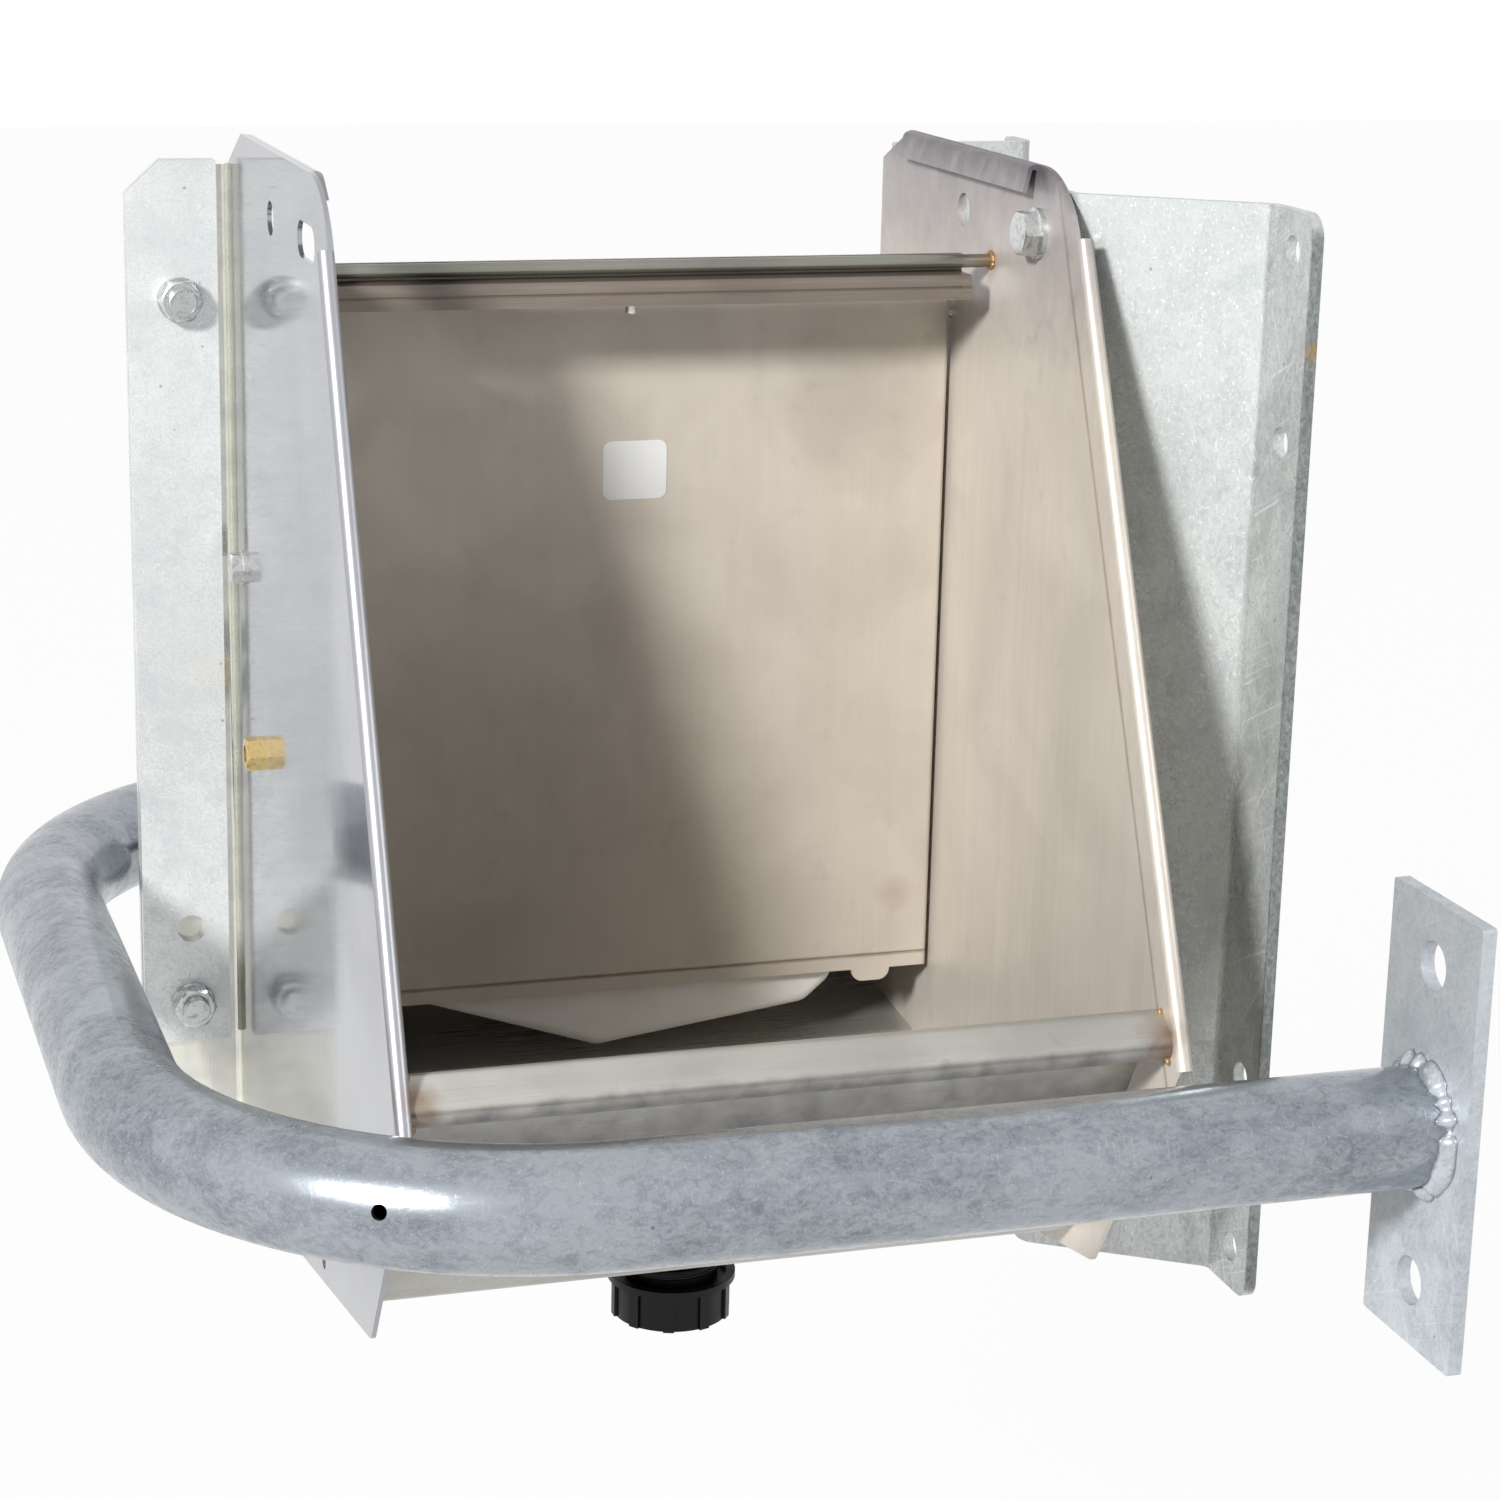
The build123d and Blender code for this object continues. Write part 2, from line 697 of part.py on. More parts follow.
# ------------------------------------------------------------------ float and lever
boss_top = up(float_top + float_boss_height)
stud_x = left_out + float_stud_offset
lever_face = stem_end + stem_to_lever
with BuildPart() as float_lever:
    hub_width = ear_gap - 2 * lever_side_clearance
    discs(front_plane(valve_y + hub_width / 2), pivot_spot, lever_hub_radius, hub_width)
    # upper arm that pushes the stem
    with BuildSketch(front_plane(valve_y + lever_width / 2)):
        Polygon(
            (lever_face, pivot_z),
            (lever_face, up(lever_top)),
            (lever_face + lever_thickness, up(lever_top)),
            (lever_face + lever_thickness, pivot_z),
            align=None,
        )
    extrude(amount=lever_width)
    # lower arm down to the float, bent level where it is fixed
    with BuildSketch(front_plane(valve_y + lever_width / 2)):
        with BuildLine():
            FilletPolyline(
                (pivot_x, pivot_z),
                (left_out + lever_foot_left, boss_top + lever_thickness / 2),
                (left_out + lever_foot_right, boss_top + lever_thickness / 2),
                radius=2 * lever_thickness,
            )
        trace(line_width=lever_thickness)
    extrude(amount=lever_width)
    discs(
        front_plane(valve_y + ear_gap),
        pivot_spot,
        lever_pin_radius + running_clearance,
        2 * ear_gap,
        Mode.SUBTRACT,
    )
    discs(
        level_plane(boss_top),
        [(stud_x, valve_y)],
        float_stud_radius + hole_clearance,
        lever_thickness,
        Mode.SUBTRACT,
    )
save(float_lever, "float_lever")

with BuildPart() as float_body:
    with BuildSketch(front_plane(ahead(float_back_reach))) as outline:
        Polygon(
            (left_out + float_left, up(float_top)),
            (left_out + float_left, up(float_left_height)),
            (left_out + float_keel_offset, up(float_keel_height)),
            (left_out + float_right - float_right_shoulder, up(float_right_height)),
            (left_out + float_right, up(float_shoulder_height)),
            (left_out + float_right, up(float_top)),
            align=None,
        )
        fillet(outline.vertices(), float_corner_radius)
    extrude(amount=float_front_reach - float_back_reach)
    ends = float_body.faces().sort_by(Axis.Y)
    fillet(ends[0].edges() + ends[-1].edges(), float_edge_radius)
    discs(
        level_plane(up(float_top)),
        [(stud_x, valve_y)],
        float_boss_radius,
        float_boss_height,
    )
    discs(
        level_plane(boss_top),
        [(stud_x, valve_y)],
        float_stud_radius,
        -float_stud_depth,
        Mode.SUBTRACT,
    )
save(float_body, "float_body")

float_nut_seat = boss_top + lever_thickness
with BuildPart() as float_stud:
    float_stud_length = float_stud_depth + lever_thickness + float_nut_thickness + float_stud_tail
    discs(
        level_plane(boss_top - float_stud_depth),
        [(stud_x, valve_y)],
        float_stud_radius,
        float_stud_length,
    )
save(float_stud, "float_stud")

with BuildPart() as float_nut:
    seat(float_nut_shape, level_plane(float_nut_seat), [(stud_x, valve_y)])
save(float_nut, "float_nut")

# ------------------------------------------------------------------ drain
drain_y = ahead(drain_reach)
drain_spot = [(middle, drain_y)]
floor_top = up(floor_height + sheet / 2)
floor_under = up(floor_height - sheet / 2)
locknut_top = floor_under - gasket_thickness
spigot_low = up(spigot_end)
cap_low = spigot_low - cap_seal - cap_floor
cap_top = cap_low + cap_height

with BuildPart() as drain_spigot:
    discs(level_plane(floor_top), drain_spot, spigot_flange_radius, spigot_flange)
    fillet(drain_spigot.faces().sort_by(Axis.Z)[-1].edges(), spigot_flange / 3)
    discs(level_plane(floor_top), drain_spot, spigot_radius, spigot_low - floor_top)
    discs(
        level_plane(spigot_low),
        drain_spot,
        spigot_bore,
        floor_top + spigot_flange - spigot_low,
        Mode.SUBTRACT,
    )
save(drain_spigot, "drain_spigot")

with BuildPart() as drain_gasket:
    discs(level_plane(floor_under), drain_spot, gasket_radius, -gasket_thickness)
    discs(
        level_plane(floor_under),
        drain_spot,
        spigot_radius + hole_clearance,
        -gasket_thickness,
        Mode.SUBTRACT,
    )
save(drain_gasket, "drain_gasket")

with BuildPart() as drain_locknut:
    seat(locknut_shape, level_plane(locknut_top), drain_spot, 180)
save(drain_locknut, "drain_locknut")

with BuildPart() as drain_cap:
    with BuildSketch(level_plane(cap_low)):
        with Locations((middle, drain_y)):
            Circle(cap_radius)
            with PolarLocations(cap_radius, cap_ribs):
                Rectangle(2 * cap_rib_depth, cap_rib_width)
    extrude(amount=cap_height)
    discs(level_plane(cap_top), drain_spot, cap_rim_radius, -cap_rim)
    discs(level_plane(cap_top), drain_spot, cap_mouth_radius, -cap_mouth_depth, Mode.SUBTRACT)
    discs(
        level_plane(cap_top),
        drain_spot,
        spigot_radius + cap_thread_clearance,
        cap_floor - cap_height,
        Mode.SUBTRACT,
    )
save(drain_cap, "drain_cap")

with BuildPart() as drain_cap_seal:
    discs(level_plane(cap_low + cap_floor), drain_spot, spigot_radius - cap_thread_clearance, cap_seal)
    discs(level_plane(cap_low + cap_floor), drain_spot, spigot_bore, cap_seal, Mode.SUBTRACT)
save(drain_cap_seal, "drain_cap_seal")

# ------------------------------------------------------------------ galvanised clamp strips
strip_inner = left_out - strip_gap
strip_outer = strip_inner - strip_width
left_bolt_x = left_out - flange_bolt_offset
right_bolt_x = right_out + flange_bolt_offset
left_bolt_spots = [(left_bolt_x, up(flange_bolt_low)), (left_bolt_x, up(flange_bolt_high))]
right_bolt_spots = [(right_bolt_x, up(flange_bolt_low)), (right_bolt_x, up(flange_bolt_high))]
strip_faces = {"clamp_strip_front": back, "clamp_strip_rear": back + sheet + strip_thickness}
for strip_name, strip_rear in strip_faces.items():
    with BuildPart() as clamp_strip:
        with BuildSketch(front_plane(strip_rear)):
            Polygon(
                (strip_outer, up(strip_bottom)),
                (strip_inner, up(strip_bottom)),
                (strip_inner, up(strip_top)),
                (strip_outer + strip_chamfer_run, up(strip_top)),
                (strip_outer, up(strip_top - strip_chamfer_drop)),
                align=None,
            )
            with Locations(*left_bolt_spots, (left_bolt_x, up(spare_hole_height))):
                Circle(m12_hole / 2, mode=Mode.SUBTRACT)
        extrude(amount=strip_thickness)
    save(clamp_strip, strip_name)

# ------------------------------------------------------------------ flange bolts
left_head_seat = back + sheet + strip_thickness
right_head_seat = back + sheet + m12_washer
nut_seat = back - bracket_plate
left_nut_seat = back - strip_thickness
bolt_length = left_head_seat - left_nut_seat + m12_nut + m12_tail
with BuildPart() as flange_bolts:
    for face, spots in ((left_head_seat, left_bolt_spots), (right_head_seat, right_bolt_spots)):
        seat(m12_head_shape, front_plane(face), spots, 180)
        discs(front_plane(face), spots, m12_radius, bolt_length)
save(flange_bolts, "flange_bolts")

with BuildPart() as flange_nuts:
    for face, spots in ((left_nut_seat, left_bolt_spots), (nut_seat, right_bolt_spots)):
        seat(m12_nut_shape, front_plane(face), spots)
save(flange_nuts, "flange_nuts")

with BuildPart() as flange_washers:
    discs(front_plane(right_head_seat), right_bolt_spots, m12_washer_radius, m12_washer)
    discs(
        front_plane(right_head_seat),
        right_bolt_spots,
        m12_radius + hole_clearance,
        m12_washer,
        Mode.SUBTRACT,
    )
save(flange_washers, "flange_washers")

# ------------------------------------------------------------------ wall bracket
plate_mid = bracket_plate / 2
wall_hole_levels = [
    height
    for centre in (0, -lower_bolts_drop)
    for height in (centre - wall_bolt_half_pitch, centre + wall_bolt_half_pitch)
]
with BuildPart() as wall_bracket:
    with BuildSketch(level_plane(up(bracket_bottom))):
        with BuildLine():
            FilletPolyline(
                (-plate_mid, ahead(front_flange_edge)),
                (-plate_mid, ahead(front_flange_bend)),
                (right_out + plate_mid, ahead(web_front_reach)),
                (right_out + plate_mid, back - plate_mid),
                (-plate_mid, back - plate_mid),
                (-plate_mid, back + rear_flange_depth),
                radius=bracket_bend + plate_mid,
            )
        trace(line_width=bracket_plate)
    extrude(amount=bracket_top - bracket_bottom)
    front_edges = wall_bracket.edges().filter_by(Axis.X).group_by(Axis.Y)[0].sort_by(Axis.Z)
    fillet(front_edges[-1], bracket_corner)
    front_edges = wall_bracket.edges().filter_by(Axis.X).group_by(Axis.Y)[0].sort_by(Axis.Z)
    fillet(front_edges[0], bracket_low_corner)
    rear_edges = wall_bracket.edges().filter_by(Axis.X).group_by(Axis.Y)[-1].sort_by(Axis.Z)
    chamfer(rear_edges[-1], rear_corner_chamfer)
    wall_spots = [(y, level) for y in (0, back + rear_flange_holes) for level in wall_hole_levels]
    discs(side_plane(-bracket_plate), wall_spots, wall_hole_diameter / 2, bracket_plate, Mode.SUBTRACT)
    web_spot = [(ahead(panel_bolt_reach), up(fixing_height))]
    discs(side_plane(right_out), web_spot, m12_hole / 2, bracket_plate, Mode.SUBTRACT)
    discs(front_plane(back), right_bolt_spots, m12_hole / 2, bracket_plate, Mode.SUBTRACT)
save(wall_bracket, "wall_bracket")

# ------------------------------------------------------------------ panel bolt
inner_washer_face = right_in - m12_washer
outer_washer_face = right_out + bracket_plate
with BuildPart() as panel_bolt:
    seat(m12_head_shape, side_plane(inner_washer_face), web_spot, 180)
    panel_bolt_end = outer_washer_face + m12_washer + m12_nut + m12_tail
    discs(side_plane(inner_washer_face), web_spot, m12_radius, panel_bolt_end - inner_washer_face)
save(panel_bolt, "panel_bolt")

with BuildPart() as panel_nut:
    seat(m12_nut_shape, side_plane(outer_washer_face + m12_washer), web_spot)
save(panel_nut, "panel_nut")

with BuildPart() as panel_washers:
    for face in (inner_washer_face, outer_washer_face):
        discs(side_plane(face), web_spot, m12_washer_radius, m12_washer)
        discs(side_plane(face), web_spot, m12_radius + hole_clearance, m12_washer, Mode.SUBTRACT)
save(panel_washers, "panel_washers")

# ------------------------------------------------------------------ tube bumper
tube_z = up(tube_height)
tube_x = left_out + tube_left
tube_front = ahead(tube_front_reach)
tube_back = ahead(tube_back_reach)
tube_start = -plate_thickness
with BuildPart() as bumper_tube:
    with BuildLine() as run:
        FilletPolyline(
            (tube_start, tube_front, tube_z),
            (tube_x, tube_front, tube_z),
            (tube_x, tube_back, tube_z),
            (tube_start, tube_back, tube_z),
            radius=tube_bend,
        )
    with BuildSketch(Plane(origin=(tube_start, tube_front, tube_z), z_dir=(-1, 0, 0))):
        Circle(tube_radius)
        Circle(tube_radius - tube_wall, mode=Mode.SUBTRACT)
    sweep(path=run.line)
    # zinc drain hole on the outer side of the front bend
    vent_swing = radians(-90 - vent_bend_angle)
    vent_rise = radians(vent_rise_angle)
    vent_plane = Plane(
        origin=(
            tube_x + tube_bend + tube_bend * cos(vent_swing),
            tube_front + tube_bend + tube_bend * sin(vent_swing),
            tube_z,
        ),
        z_dir=(
            cos(vent_swing) * cos(vent_rise),
            sin(vent_swing) * cos(vent_rise),
            sin(vent_rise),
        ),
    )
    discs(vent_plane, [(0, 0)], vent_diameter / 2, tube_radius + tube_wall, Mode.SUBTRACT)
save(bumper_tube, "bumper_tube")

plate_centres = {"bumper_plate_front": tube_front, "bumper_plate_rear": tube_back}
for plate_name, plate_y in plate_centres.items():
    with BuildPart() as bumper_plate:
        with BuildSketch(side_plane(-plate_thickness)) as outline:
            with Locations((plate_y, tube_z)):
                Rectangle(plate_width, plate_height)
            fillet(outline.vertices(), plate_corner)
            with Locations((plate_y, tube_z)):
                with GridLocations(0, 2 * plate_hole_half_pitch, 1, 2):
                    Circle(plate_hole_diameter / 2, mode=Mode.SUBTRACT)
        extrude(amount=plate_thickness)
    save(bumper_plate, plate_name)

weld_centres = {"bumper_weld_front": tube_front, "bumper_weld_rear": tube_back}
for weld_name, weld_y in weld_centres.items():
    with BuildPart() as bumper_weld:
        with BuildSketch(front_plane(weld_y)) as bead:
            Polygon(
                (-plate_thickness, tube_z + tube_radius),
                (-plate_thickness, tube_z + tube_radius + weld_leg),
                (-plate_thickness - weld_leg, tube_z + tube_radius),
                align=None,
            )
        revolve(axis=Axis((0, weld_y, tube_z), (1, 0, 0)))
    save(bumper_weld, weld_name)
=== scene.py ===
"""Looks of a stainless drinking trough with a float valve, a galvanised bracket and a tube bumper."""

import logging
import math
from dataclasses import dataclass
from enum import Enum
from typing import Protocol

import bmesh
import bpy
from mathutils import Matrix, Vector, noise


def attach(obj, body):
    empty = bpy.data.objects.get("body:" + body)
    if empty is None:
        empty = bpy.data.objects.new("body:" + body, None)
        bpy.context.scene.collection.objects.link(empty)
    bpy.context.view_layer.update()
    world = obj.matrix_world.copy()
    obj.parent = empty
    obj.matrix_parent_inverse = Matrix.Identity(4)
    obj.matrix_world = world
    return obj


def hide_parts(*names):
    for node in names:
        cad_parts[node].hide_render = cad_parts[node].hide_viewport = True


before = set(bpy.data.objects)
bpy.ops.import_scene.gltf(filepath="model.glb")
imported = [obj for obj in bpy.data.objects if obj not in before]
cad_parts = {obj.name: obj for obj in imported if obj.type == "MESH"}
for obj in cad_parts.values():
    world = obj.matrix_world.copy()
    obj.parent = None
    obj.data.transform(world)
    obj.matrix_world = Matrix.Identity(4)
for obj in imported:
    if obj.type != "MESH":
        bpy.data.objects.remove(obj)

LOG = logging.getLogger("trough")
MM = 0.001
Triple = tuple[float, float, float]
PLAIN: Triple = (1.0, 1.0, 1.0)
ALONG_Y: Triple = (0.0, 1.0, 0.0)
ALONG_Z: Triple = (0.0, 0.0, 1.0)
TO_FRONT: Triple = (0.0, -1.0, 0.0)


def linear(code: str) -> tuple[float, float, float, float]:
    """Turn an sRGB hex colour into linear RGBA.

    Args:
        code: Colour as "#RRGGBB".

    Returns:
        Red, green, blue and alpha, linear.
    """
    parts = [int(code[i : i + 2], 16) / 255 for i in (1, 3, 5)]
    # the standard sRGB curve: a straight foot, then a power
    red, green, blue = (c / 12.92 if c <= 0.04045 else ((c + 0.055) / 1.055) ** 2.4 for c in parts)
    return (red, green, blue, 1.0)


def per_mm(size: float) -> float:
    """Scale of a texture whose detail measures this many millimetres.

    Args:
        size: Size of one detail in millimetres.

    Returns:
        The scale for coordinates in metres.
    """
    return 1000.0 / size


def put(
    tree: bpy.types.NodeTree, kind: str, inputs: dict | None = None, **settings: object
) -> bpy.types.Node:
    """Add one node with its settings, its input values and its links.

    Args:
        tree: Node tree to add to.
        kind: Blender's name of the node type.
        inputs: Values or output sockets, keyed by the input's name or number.
        settings: Properties of the node.

    Returns:
        The new node.
    """
    node = tree.nodes.new(kind)
    for key, value in settings.items():
        setattr(node, key, value)
    for key, value in (inputs or {}).items():
        if isinstance(value, bpy.types.NodeSocket):
            tree.links.new(value, node.inputs[key])
        else:
            node.inputs[key].default_value = value
    return node


def maths(
    tree: bpy.types.NodeTree, operation: str, *values: object, clamp: bool = False
) -> bpy.types.NodeSocket:
    """Compute one value from others.

    Args:
        tree: The material's node tree.
        operation: Blender's name of the operation.
        values: Numbers or sockets, in the operation's order.
        clamp: Whether the result is held between 0 and 1.

    Returns:
        The result.
    """
    inputs = dict(enumerate(values))
    return put(tree, "ShaderNodeMath", inputs, operation=operation, use_clamp=clamp).outputs[0]


def mix(
    tree: bpy.types.NodeTree, factor: object, first: object, second: object, blend: str = "MIX"
) -> bpy.types.NodeSocket:
    """Mix two colours.

    Args:
        tree: The material's node tree.
        factor: Factor value or socket.
        first: Colour or socket beneath.
        second: Colour or socket on top.
        blend: Blend mode.

    Returns:
        The mixed colour.
    """
    sockets = {0: factor, 6: first, 7: second}
    return put(tree, "ShaderNodeMix", sockets, data_type="RGBA", blend_type=blend).outputs[2]


def spread(
    tree: bpy.types.NodeTree,
    value: bpy.types.NodeSocket,
    low: float,
    high: float,
    to_low: float = 0.0,
    to_high: float = 1.0,
) -> bpy.types.NodeSocket:
    """Stretch part of a value's range to another range, clamped.

    Args:
        tree: The material's node tree.
        value: Incoming value.
        low: Start of the incoming range.
        high: End of the incoming range.
        to_low: Start of the outgoing range.
        to_high: End of the outgoing range.

    Returns:
        The stretched value.
    """
    limits = {1: low, 2: high, 3: to_low, 4: to_high}
    return put(tree, "ShaderNodeMapRange", {0: value, **limits}).outputs[0]


def grain(
    tree: bpy.types.NodeTree,
    coords: bpy.types.NodeSocket,
    size: float,
    detail: float = 2.0,
    longer: Triple = PLAIN,
    turn: Triple = (0.0, 0.0, 0.0),
    twist: float = 0.0,
) -> bpy.types.NodeSocket:
    """Noise whose detail has a real size.

    Args:
        tree: The material's node tree.
        coords: Object coordinates in metres.
        size: Size of the detail in millimetres.
        detail: Octaves of finer detail.
        longer: How many times longer the detail is along each axis.
        turn: Turn of those axes in degrees.
        twist: Distortion.

    Returns:
        The noise value, 0 to 1.
    """
    turned = tuple(math.radians(a) for a in turn)
    spots = {"Vector": coords, "Scale": longer, "Rotation": turned}
    moved = put(tree, "ShaderNodeMapping", spots, vector_type="TEXTURE").outputs[0]
    inputs = {"Vector": moved, "Scale": per_mm(size), "Detail": detail, "Distortion": twist}
    return put(tree, "ShaderNodeTexNoise", inputs).outputs[0]


def new_tree(name: str) -> tuple[bpy.types.Material, bpy.types.NodeTree, bpy.types.NodeSocket]:
    """Start an empty node material.

    Args:
        name: Name of the material.

    Returns:
        The material, its tree and the object coordinates.
    """
    material = bpy.data.materials.new(name)
    material.use_nodes = True
    tree = material.node_tree
    tree.nodes.clear()
    coords = put(tree, "ShaderNodeTexCoord").outputs["Object"]
    return material, tree, coords


def close_tree(
    tree: bpy.types.NodeTree,
    colour: bpy.types.NodeSocket,
    metal: float,
    rough: bpy.types.NodeSocket,
    normal: bpy.types.NodeSocket,
    sheen: float = 0.5,
) -> None:
    """End a material in one surface shader.

    Args:
        tree: The material's node tree.
        colour: Surface colour.
        metal: Share of metal, 0 to 1.
        rough: Roughness.
        normal: Bumped normal.
        sheen: Strength of the clear reflection over the colour.
    """
    inputs = {"Base Color": colour, "Metallic": metal, "Roughness": rough, "Normal": normal}
    inputs["Specular IOR Level"] = sheen
    shader = put(tree, "ShaderNodeBsdfPrincipled", inputs)
    put(tree, "ShaderNodeOutputMaterial", {"Surface": shader.outputs[0]})


def bump(
    tree: bpy.types.NodeTree,
    height: bpy.types.NodeSocket,
    depth_mm: float,
    strength: float,
    under: bpy.types.NodeSocket | None = None,
) -> bpy.types.NodeSocket:
    """Raise a height as a bumped normal.

    Args:
        tree: The material's node tree.
        height: Height, 0 to 1.
        depth_mm: What a height of 1 stands for, in millimetres.
        strength: How much of it shows.
        under: Normal that it is laid on.

    Returns:
        The normal.
    """
    inputs = {"Strength": strength, "Distance": depth_mm * MM, "Height": height}
    if under is not None:
        inputs["Normal"] = under
    return put(tree, "ShaderNodeBump", inputs).outputs[0]


class Brush(Enum):
    """Direction of rolling and brushing: how many times longer a mark is along X, Y and Z."""

    ACROSS = (45.0, 1.0, 1.0)
    UPRIGHT = (1.0, 1.0, 45.0)


class Reach(Enum):
    """How a mark on the metal spreads: round a point, or along a plane."""

    SPOT = "spot"
    BAND = "band"


class Finish(Protocol):
    """A named surface that can build its node material."""

    name: str

    def make(self) -> bpy.types.Material:
        """Build the node material."""


@dataclass(frozen=True)
class Mark:
    """A heat tint, stain, rust mark, painted shade or painted reflection at a place on the object.

    Attributes:
        colour: Colour of the mark as sRGB hex.
        place: Centre of the mark in millimetres, or the plane's normal for a band.
        size: Radius, or half width for a band, in millimetres.
        strength: How much it covers the metal, 0 to 1.
        reach: Spot or band.
        offset: The band plane's distance from the origin, in millimetres.
    """

    colour: str
    place: Triple
    size: float
    strength: float
    reach: Reach = Reach.SPOT
    offset: float = 0.0

    @classmethod
    def band(cls, colour: str, normal: Triple, offset: float, half: float, strength: float) -> "Mark":
        """Make a mark that runs along a plane.

        Args:
            colour: Colour of the mark as sRGB hex.
            normal: The plane's normal.
            offset: The plane's distance from the origin, in millimetres.
            half: Half width of the mark in millimetres.
            strength: How much it covers the metal, 0 to 1.

        Returns:
            The mark.
        """
        return cls(colour, normal, half, strength, Reach.BAND, offset)

    def lay(
        self,
        tree: bpy.types.NodeTree,
        coords: bpy.types.NodeSocket,
        wobble: bpy.types.NodeSocket,
        under: bpy.types.NodeSocket,
    ) -> bpy.types.NodeSocket:
        """Mix the mark over a colour.

        Args:
            tree: The material's node tree.
            coords: Object coordinates.
            wobble: Noise that roughens the mark's edge.
            under: Colour beneath the mark.

        Returns:
            The colour with the mark on it.
        """
        size = self.size * MM
        if self.reach is Reach.SPOT:
            centre = tuple(v * MM for v in self.place)
            inputs = {0: coords, 1: centre}
            away = put(tree, "ShaderNodeVectorMath", inputs, operation="DISTANCE").outputs["Value"]
        else:
            inputs = {0: coords, 1: self.place}
            along = put(tree, "ShaderNodeVectorMath", inputs, operation="DOT_PRODUCT").outputs["Value"]
            away = maths(tree, "ABSOLUTE", maths(tree, "SUBTRACT", along, self.offset * MM))
        # the noise pulls the mark's edge in and out
        ragged = maths(tree, "MULTIPLY_ADD", wobble, -0.9 * size, away)
        cover = spread(tree, ragged, -0.4 * size, 0.7 * size, self.strength, 0.0)
        return mix(tree, cover, under, linear(self.colour))


@dataclass(frozen=True)
class BrushedStainless:
    """Cold-rolled 304 stainless sheet, brushed one way.

    It gives the eye warm grey satin with fine long streaks, slow cloudy changes of gloss, faint
    handling stains and brown heat tints beside the welds.

    Attributes:
        name: Material name.
        light: Colour of the cleaner metal.
        dark: Colour of the dull patches.
        brush: Direction of the brush marks.
        roughness: Middle roughness.
        cloud: How strongly the dull patches show.
        cloud_mm: Size of a dull patch.
        metal: Share of mirror-like reflection; brushing scatters the rest widely.
        line: How strongly the brush lines show in the colour.
        marks: Heat tints, stains, painted shade and painted reflections.
        satin_normal: Normal of a plane before which the sheet is rubbed satin, or zero for none.
        satin_offset: Distance of that plane from the origin, in millimetres.
        satin: Roughness of the sheet where it is rubbed.
        streak_mm: Width of a brush mark as drawn.
        sweep_mm: Width of the broader bands among the brush marks.
        smudge_mm: Size of a handling stain.
        smudge: Colour of a handling stain.
        smudged: How strongly the handling stains show.
    """

    name: str
    light: str = "#C6BFB4"
    dark: str = "#A59D92"
    brush: Brush = Brush.UPRIGHT
    roughness: float = 0.38
    cloud: float = 0.5
    cloud_mm: float = 80.0
    metal: float = 0.3
    line: float = 0.04
    marks: tuple[Mark, ...] = ()
    satin_normal: Triple = (0.0, 0.0, 0.0)
    satin_offset: float = 0.0
    satin: float = 0.36
    streak_mm: float = 0.8
    sweep_mm: float = 7.0
    smudge_mm: float = 12.0
    smudge: str = "#7D7468"
    smudged: float = 0.14

    def make(self) -> bpy.types.Material:
        """Build the node material.

        Returns:
            The material.
        """
        material, tree, coords = new_tree(self.name)
        # brush marks are about 0.1 mm wide in truth, and drawn 0.8 mm wide to show
        streak = grain(tree, coords, self.streak_mm, 3.0, self.brush.value)
        sweep = grain(tree, coords, self.sweep_mm, 2.0, self.brush.value)
        cloud = grain(tree, coords, self.cloud_mm, 3.0, twist=0.5)
        smudge = grain(tree, coords, self.smudge_mm, 3.0, twist=0.3)
        patch = spread(tree, cloud, 0.38, 0.68, 0.0, self.cloud)
        colour = mix(tree, patch, linear(self.light), linear(self.dark))
        fine = spread(tree, streak, 0.3, 0.7, 1.0 - self.line, 1.0 + self.line)
        colour = mix(tree, 1.0, colour, fine, "MULTIPLY")
        bands = spread(tree, sweep, 0.3, 0.7, 1.0 - 0.6 * self.line, 1.0 + 0.6 * self.line)
        colour = mix(tree, 1.0, colour, bands, "MULTIPLY")
        stain = spread(tree, smudge, 0.62, 0.8, 0.0, self.smudged)
        colour = mix(tree, stain, colour, linear(self.smudge))
        for mark in self.marks:
            colour = mark.lay(tree, coords, smudge, colour)
        gloss = spread(tree, cloud, 0.35, 0.65, self.roughness - 0.03, self.roughness + 0.04)
        rough = maths(tree, "ADD", gloss, spread(tree, streak, 0.3, 0.7, -0.03, 0.04))
        if any(self.satin_normal):
            inputs = {0: coords, 1: self.satin_normal}
            along = put(tree, "ShaderNodeVectorMath", inputs, operation="DOT_PRODUCT").outputs["Value"]
            start = self.satin_offset * MM
            rubbed = spread(tree, along, start, start + MM, self.satin, 0.0)
            rough = maths(tree, "MAXIMUM", rough, rubbed)
        lines = bump(tree, streak, 0.03, 0.2)
        waves = bump(tree, cloud, 0.4, 0.25, lines)
        close_tree(tree, colour, self.metal, rough, waves)
        return material


